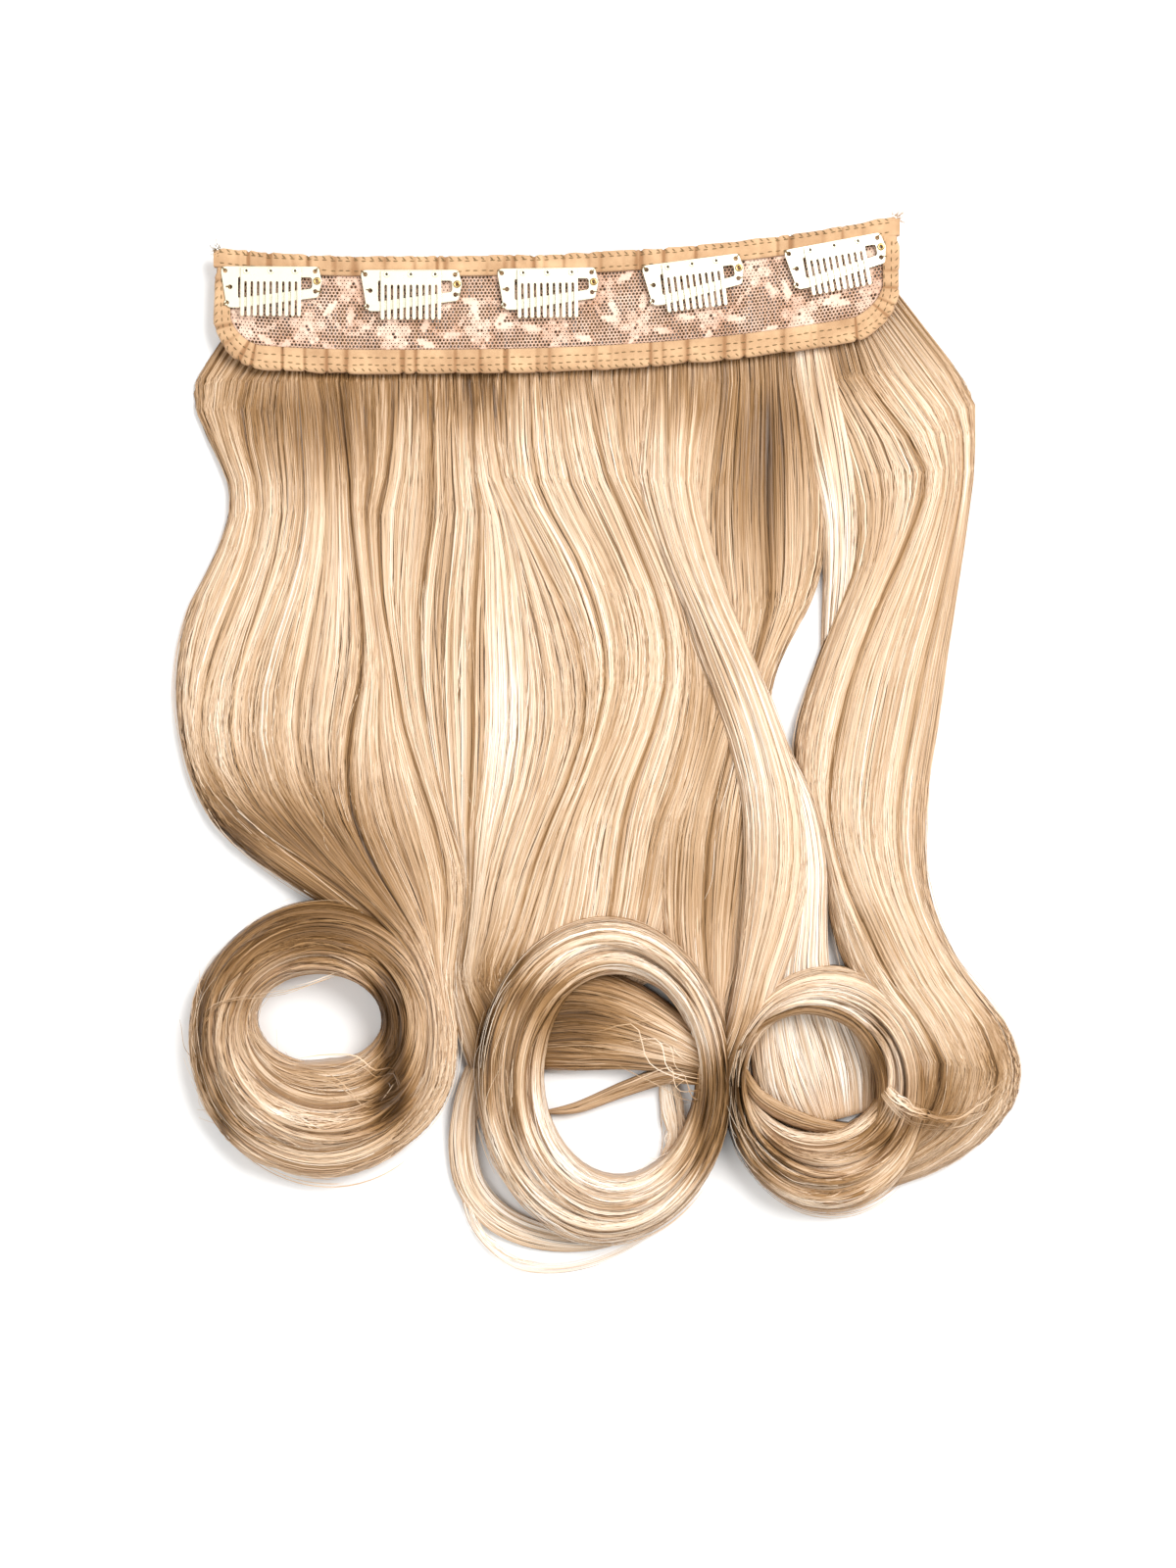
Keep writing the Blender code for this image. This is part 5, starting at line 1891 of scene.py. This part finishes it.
@dataclass
class Clip:
    """One snap clip: pressed plate, riveted comb, eyelet and sewing loops."""

    number: int
    steel: Material
    brass: Material
    bore_shadow: Material
    thread: Material
    length: float = 0.0371
    height: float = 0.0151
    tail_height: float = 0.0113
    slant: float = 0.0025
    corner: float = 0.0022
    nose_reach: float = 0.0013
    nose_drop: float = 0.0053
    side_width: float = 0.0066
    tail_width: float = 0.0036
    bar_height: float = 0.0040
    arm_height: float = 0.0036
    comb_width: float = 0.0221
    comb_inset: float = 0.0075
    comb_top_inset: float = 0.00045
    spine: float = 0.0051
    tooth: float = 0.0128
    tooth_width: float = 0.00145
    teeth: int = 10
    rivet_inset: float = 0.0022
    rivet_drop: float = 0.0013
    edge_round: float = 0.00016
    seat_gap: float = 0.0003
    hole_radius: float = 0.00062
    eye_radius: float = 0.0011
    loop_reach: float = 0.0019
    loop_swing: float = 0.0002
    rivet_profile: tuple[Pair, ...] = (
        (0.00042, 0.0), (0.0012, 0.0), (0.00118, 0.0002), (0.00095, 0.0004), (0.00062, 0.00042), (0.00044, 0.0002),
    )
    # A dark disc in each rivet's bore: painted shadow
    bore_shadow_profile: tuple[Pair, ...] = (
        (0.00002, 0.0), (0.00040, 0.0), (0.00040, 0.00012), (0.00002, 0.00016),
    )
    eyelet_profile: tuple[Pair, ...] = (
        (0.00075, -0.0005), (0.00080, 0.0), (0.00125, 0.0001), (0.00130, 0.0003), (0.00110, 0.0005),
        (0.00075, 0.0005), (0.00048, 0.0002), (0.00042, -0.0005),
    )
    holes: tuple[Pair, ...] = ((0.05, 0.11), (0.10, 0.50), (0.068, 0.88), (0.932, 0.12), (0.935, 0.60))

    def place(self) -> Matrix:
        """Where the hinge line starts and how the clip is turned, read from the record's joint.

        Returns:
            The matrix from the comb's own frame to the part's.
        """
        joints = {joint["name"]: joint for joint in frame["record"]["behaviour"]["joints"]}
        joint = joints[f"clip_{self.number}_snap"]
        along = -Vector(joint["axis"])
        turn = Matrix.Rotation(math.atan2(along.y, along.x), 4, "Z")
        return Matrix.Translation(joint["pos_m"]) @ turn

    def plate_place(self) -> Matrix:
        """The matrix from the plate's own frame, with its middle at 0, 0, to the part's."""
        back = Vector((self.length / 2 - self.comb_inset, self.comb_top_inset - self.height / 2, 0))
        down = Vector((0, 0, -(PLATE_THICKNESS + self.seat_gap)))
        return self.place() @ Matrix.Translation(back + down)

    def arm_line(self, x: float) -> float:
        """Height of the slanting arm's lower edge.

        Args:
            x: Place along the plate.

        Returns:
            Its place across the plate.
        """
        heel = (-self.length / 2 + self.side_width, -self.height / 2)
        tail = (self.length / 2 - self.nose_reach, self.height / 2 - self.tail_height)
        return heel[1] + (tail[1] - heel[1]) * (x - heel[0]) / (tail[0] - heel[0])

    def rounded(self, corners: list[tuple[float, float, float]], steps: int = 6) -> list[Pair]:
        """An outline with rounded corners.

        Args:
            corners: Rows of x, y and radius.
            steps: Points on each corner, less one.

        Returns:
            The outline's points.
        """
        points = []
        for i, (x, y, radius) in enumerate(corners):
            here = Vector((x, y))
            before = Vector(corners[i - 1][:2]) - here
            after = Vector(corners[(i + 1) % len(corners)][:2]) - here
            reach = min(radius / math.tan(before.angle(after) / 2), before.length / 2, after.length / 2)
            first, last = here + before.normalized() * reach, here + after.normalized() * reach
            for k in range(steps + 1):
                t = k / steps
                points.append(tuple((1 - t) ** 2 * first + 2 * t * (1 - t) * here + t**2 * last))
        return points

    def circle(self, x: float, y: float, radius: float, sides: int = 16) -> list[Pair]:
        """A round outline.

        Args:
            x: Middle along.
            y: Middle across.
            radius: Its radius.
            sides: Its points.

        Returns:
            The outline's points.
        """
        turns = [math.tau * i / sides for i in range(sides)]
        return [(x + radius * math.cos(a), y + radius * math.sin(a)) for a in turns]

    def eyelet_place(self) -> Pair:
        """Middle of the eyelet on the plate."""
        return (self.length / 2 - self.tail_width / 2, self.height / 2 - self.nose_drop)

    def pressed(self, name: str, outlines: list[list[Pair]], thickness: float) -> bpy.types.Mesh:
        """A pressed sheet with softly rounded edges.

        Args:
            name: The mesh's name.
            outlines: The outside and then the holes.
            thickness: The sheet's thickness.

        Returns:
            The mesh, its underside at zero.
        """
        curve = bpy.data.curves.new(name, "CURVE")
        curve.dimensions = "2D"
        curve.fill_mode = "BOTH"
        curve.extrude = thickness / 2 - self.edge_round
        curve.bevel_depth = self.edge_round
        curve.bevel_resolution = 1
        curve.offset = -self.edge_round
        for outline in outlines:
            path = curve.splines.new("POLY")
            path.points.add(len(outline) - 1)
            for point, (x, y) in zip(path.points, outline):
                point.co = (x, y, 0, 1)
            path.use_cyclic_u = True
        blank = bpy.data.objects.new(name, curve)
        bpy.context.scene.collection.objects.link(blank)
        bpy.context.view_layer.update()
        mesh = bpy.data.meshes.new_from_object(blank.evaluated_get(bpy.context.evaluated_depsgraph_get()))
        bpy.data.objects.remove(blank)
        mesh.transform(Matrix.Translation((0, 0, thickness / 2)))
        return mesh

    def turned(self, profile: list[Pair], x: float, y: float, z: float) -> tuple:
        """A turned ring from a closed profile.

        Args:
            profile: Rows of radius and height.
            x: Middle along.
            y: Middle across.
            z: Height of its foot.

        Returns:
            Corners and quads.
        """
        turns = np.linspace(0, math.tau, 20, endpoint=False)
        radius, high = np.array(profile).T
        px = x + np.outer(np.cos(turns), radius)
        py = y + np.outer(np.sin(turns), radius)
        pz = np.broadcast_to(z + high, px.shape)
        points = np.stack([px, py, pz], axis=-1).reshape(-1, 3)
        faces = grid_faces(20, len(profile), True)
        last = 19 * len(profile)
        ring = np.arange(len(profile))
        after = (ring + 1) % len(profile)
        closing = np.stack([last + ring, last + after, after, ring], axis=1)
        return points, np.concatenate([faces, closing])

    def comb_outline(self) -> list[Pair]:
        """The comb from above, its hinge line at y = 0."""
        pitch = (self.comb_width - self.tooth_width) / (self.teeth - 1)
        gap = (pitch - self.tooth_width) / 2
        side = self.tooth_width / 2
        tip = -self.spine - self.tooth
        arch = [math.radians(a) for a in (180, 135, 90, 45, 0)]
        points = [(self.comb_width, 0.0), (0.0, 0.0)]
        for i in range(self.teeth):
            middle = side + i * pitch
            points += [(middle + side * math.cos(a), tip + side - side * math.sin(a)) for a in arch]
            if i < self.teeth - 1:
                slot = middle + side + gap
                points += [(slot + gap * math.cos(a), -self.spine - gap + gap * math.sin(a)) for a in arch]
        return points

    def build(self) -> None:
        """Builds the clip's pieces and fixes each to its body."""
        half, top = self.length / 2, self.height / 2
        outside = self.rounded(
            [
                (-half, top, self.corner),
                (half - self.nose_reach, top, self.corner * 0.7),
                (half, top - self.nose_drop, self.corner),
                (half - self.nose_reach, top - self.tail_height, self.corner * 0.7),
                (-half + self.side_width, -top, self.corner),
                (-half + self.slant, -top, self.corner),
            ]
        )
        left, right = -half + self.side_width, half - self.tail_width
        window = self.rounded(
            [
                (left, top - self.bar_height, self.corner / 4),
                (right, top - self.bar_height, self.corner / 2),
                (right, self.arm_line(right) + self.arm_height, self.corner / 2),
                (left, self.arm_line(left) + self.arm_height, self.corner / 4),
            ]
        )
        spots = [(a * self.length - half, top - d * self.height) for a, d in self.holes]
        bores = [self.circle(x, y, self.hole_radius + self.edge_round) for x, y in spots]
        eye = self.circle(*self.eyelet_place(), self.eye_radius + self.edge_round)
        plate = self.pressed(f"clip_{self.number}_plate_fine", [outside, window, *bores, eye], PLATE_THICKNESS)
        self.seat(plate, self.plate_place(), self.steel, "band", f"clip_{self.number}_plate")
        self.build_comb()
        self.build_eyelet()
        self.build_loops(spots)

    def seat(
        self, mesh: bpy.types.Mesh, place: Matrix, finish: Material, body: str, node: str
    ) -> bpy.types.Object:
        """Puts a mesh in its place on the clip and on its body.

        Args:
            mesh: The mesh in the clip's frame.
            place: Its matrix.
            finish: Its material.
            body: The body that carries it.
            node: The node that it stands for, or nothing.

        Returns:
            The object.
        """
        mesh.transform(place)
        mesh.materials.clear()
        mesh.materials.append(finish)
        piece = bpy.data.objects.new(mesh.name, mesh)
        bpy.context.scene.collection.objects.link(piece)
        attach(piece, body)
        if node:
            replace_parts(piece, node)
        log.info("%s: %d faces", piece.name, len(mesh.polygons))
        return piece

    def build_comb(self) -> None:
        """Builds the comb with its hollow rivets, and a dark disc of painted shadow in each rivet's bore."""
        comb = self.pressed(f"clip_{self.number}_comb_fine", [self.comb_outline()], COMB_THICKNESS)
        self.seat(comb, self.place(), self.steel, f"comb_{self.number}", f"clip_{self.number}_comb")
        middles = (self.rivet_inset, self.comb_width / 2, self.comb_width - self.rivet_inset)
        # Each rivet gets a dark disc in its bore: painted shadow
        small = (("rivets", self.rivet_profile, self.steel), ("bore_shadows", self.bore_shadow_profile, self.bore_shadow))
        for label, profile, finish in small:
            parts = [(*self.turned(profile, x, -self.rivet_drop, COMB_THICKNESS), {}) for x in middles]
            points, faces, _ = joined(parts)
            piece = mesh_object(f"clip_{self.number}_{label}", points, faces, finish)
            piece.data.transform(self.place())
            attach(piece, f"comb_{self.number}")

    def build_eyelet(self) -> None:
        """Builds the brass eyelet of the tail."""
        points, faces = self.turned(self.eyelet_profile, *self.eyelet_place(), PLATE_THICKNESS)
        eyelet = mesh_object(f"clip_{self.number}_eyelet_fine", points, faces, self.brass)
        eyelet.data.transform(self.plate_place())
        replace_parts(ride_band(eyelet), f"clip_{self.number}_eyelet")

    def build_loops(self, spots: list[Pair]) -> None:
        """Sews the plate down through its holes.

        Args:
            spots: The holes' middles on the plate.
        """
        rng = np.random.default_rng(40 + self.number)
        paths = []
        for x, y in spots:
            way = 1 if x > 0 else -1
            lean = 0.6 * (1 if y > 0.2 * self.height else -1 if y < -0.2 * self.height else 0)
            for turn in range(2):
                reach = self.loop_reach + rng.uniform(-self.loop_swing, 1.5 * self.loop_swing)
                t = np.linspace(0, 1, 7)
                high = PLATE_THICKNESS + 0.0003 * np.sin(np.pi * t) ** 0.5 - 0.0009 * t**4 - 0.0004 * (1 - t) ** 4
                off = rng.uniform(-self.loop_swing, self.loop_swing) + 0.00022 * turn
                px = x + way * reach * t * (1 if not lean else 0.7)
                py = y + lean * reach * t + off
                paths.append(np.stack([px, py, high], axis=1))
        paths = np.array(paths)
        points, faces = tubes(paths, np.full(paths.shape[:2], Thread.STITCH.value * 0.75), 5)
        loops = mesh_object(f"clip_{self.number}_loops", points, faces, self.thread)
        loops.data.transform(self.plate_place())
        ride_band(loops)


@dataclass(frozen=True)
class Studio:
    """The pale floor, the soft light and the camera over it."""

    lens_mm: float = 85.0
    sensor_mm: float = 36.0
    floor_size: float = 8.0
    plane_level: float = 0.010
    floor_colour: tuple[float, ...] = (0.93, 0.93, 0.925, 1.0)
    sky_colour: tuple[float, ...] = (1.0, 0.995, 0.985, 1.0)
    sky_strength: float = 0.58
    lamps: tuple[tuple[str, tuple[float, float, float], float, float], ...] = (
        ("key", (0.75, 0.45, 1.5), 0.9, 33.0),
        ("fill", (-0.9, -0.5, 1.7), 1.6, 14.0),
    )
    aim: tuple[float, float, float] = (0.0, -0.17, 0.0)

    def build(self) -> None:
        """Builds the floor, the lights and the camera."""
        self.floor()
        for lamp in self.lamps:
            self.light(*lamp)
        world = bpy.data.worlds.new("studio")
        world.use_nodes = True
        sky = world.node_tree.nodes["Background"]
        Nodes(world.node_tree).lead(sky, {"Color": self.sky_colour, "Strength": self.sky_strength})
        bpy.context.scene.world = world
        bpy.context.scene.view_settings.view_transform = "Standard"
        self.camera()

    def floor(self) -> None:
        """Lays the plain floor."""
        s = self.floor_size / 2
        material, nodes, shader = new_material("pale_floor")
        nodes.lead(shader, {"Base Color": self.floor_colour, "Roughness": 0.9})
        points = np.array([(-s, -s, 0.0), (s, -s, 0.0), (s, s, 0.0), (-s, s, 0.0)])
        mesh_object("floor", points, np.array([[0, 1, 2, 3]]), material)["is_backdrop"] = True

    def light(self, name: str, place: tuple[float, float, float], size: float, watts: float) -> None:
        """Adds a soft lamp that faces the piece.

        Args:
            name: The lamp's name.
            place: Where it stands.
            size: Its width.
            watts: Its power.
        """
        lamp = bpy.data.lights.new(name, "AREA")
        lamp.shape = "DISK"
        lamp.size = size
        lamp.energy = watts
        made = bpy.data.objects.new(name, lamp)
        made.location = place
        aim = Vector(self.aim) - Vector(place)
        made.rotation_euler = aim.to_track_quat("-Z", "Y").to_euler()
        bpy.context.scene.collection.objects.link(made)

    def camera(self) -> None:
        """Hangs the camera over the middle of the photograph's frame."""
        x, y = on_plane(IMAGE_SIZE_PX[0] / 2, IMAGE_SIZE_PX[1] / 2)
        half = IMAGE_SIZE_PX[1] * METRES_PER_PX / 2
        data = bpy.data.cameras.new("camera")
        data.lens = self.lens_mm
        data.sensor_width = self.sensor_mm
        distance = half / (self.sensor_mm / 2 / self.lens_mm)
        made = bpy.data.objects.new("camera", data)
        made.location = (float(x), float(y), distance + self.plane_level)
        bpy.context.scene.collection.objects.link(made)
        bpy.context.scene.camera = made


def main() -> None:
    """Builds every piece in order."""
    logging.basicConfig(level=logging.INFO, format="%(message)s")
    Studio().build()
    finishes = Finishes()
    hair = HairFinish().build(finishes)
    tape = ClothFinish("tan_tape", "E8C094", "A2754C").build(finishes)
    net = ClothFinish("pink_net", "FBDFCB", "BE8F70", 5200.0, 0.85, 0.1, 0.35, 1.0).build(finishes)
    thread = ClothFinish("olive_thread", "9A7C48", "5E4726", 6000.0, 0.6, 0.1, 0.3).build(finishes)
    steel = MetalFinish("cream_lacquer", "F5F0D8", "B4AA82", 0.45, 0.30, 0.5).build(finishes)
    brass = MetalFinish("brass", "CDAE72", "7D6234", 1.0, 0.30, 0.0).build(finishes)
    # The dark finish of the discs of painted shadow in the rivets' bores
    bore_shadow = MetalFinish("bore_shadow_finish", "4A3820", "21180C", 0.6, 0.45, 0.0).build(finishes)
    Hair(hair).build()
    band = Band()
    Weft(band, hair).build()
    Lace(band, net).build()
    edge, inward = band.top_path(EDGE_STEP)
    widths = np.full(len(edge), TOP_TAPE_WIDTH)
    sewing = (TOP_TAPE_ROWS, tape, thread, 31, TOP_TAPE_FLAT)
    Tape("top_tape", "top_binding", edge, inward, widths, *sewing).build()
    edge, inward = band.lower_path(EDGE_STEP, band.height / 2 - TOP_TAPE_WIDTH - TAPE_GAP)
    widths = SIDE_TAPE_WIDTH + LOWER_TAPE_EXTRA * np.abs(inward[:, 1])
    sewing = (LOWER_TAPE_ROWS, tape, thread, 37, LOWER_TAPE_FLAT)
    Tape("lower_tape", "lower_binding", edge, inward, widths, *sewing).build()
    for name, side, away, seed in (("left_fray", -1, 150, 61), ("right_fray", 1, 40, 62)):
        x = side * (band.length / 2 - 0.0015)
        corner = (x, band.height / 2 + float(band.rise(np.array(x))) - 0.0012)
        Fray(name, corner, away, thread if side < 0 else tape, seed).build()
    for number in range(1, 6):
        Clip(number, steel, brass, bore_shadow, thread).build()
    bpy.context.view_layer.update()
    total = sum(len(p.data.loops) - 2 * len(p.data.polygons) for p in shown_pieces() if p.type == "MESH")
    log.info("triangles shown: %d", total)


if __name__ == "__main__":
    main()
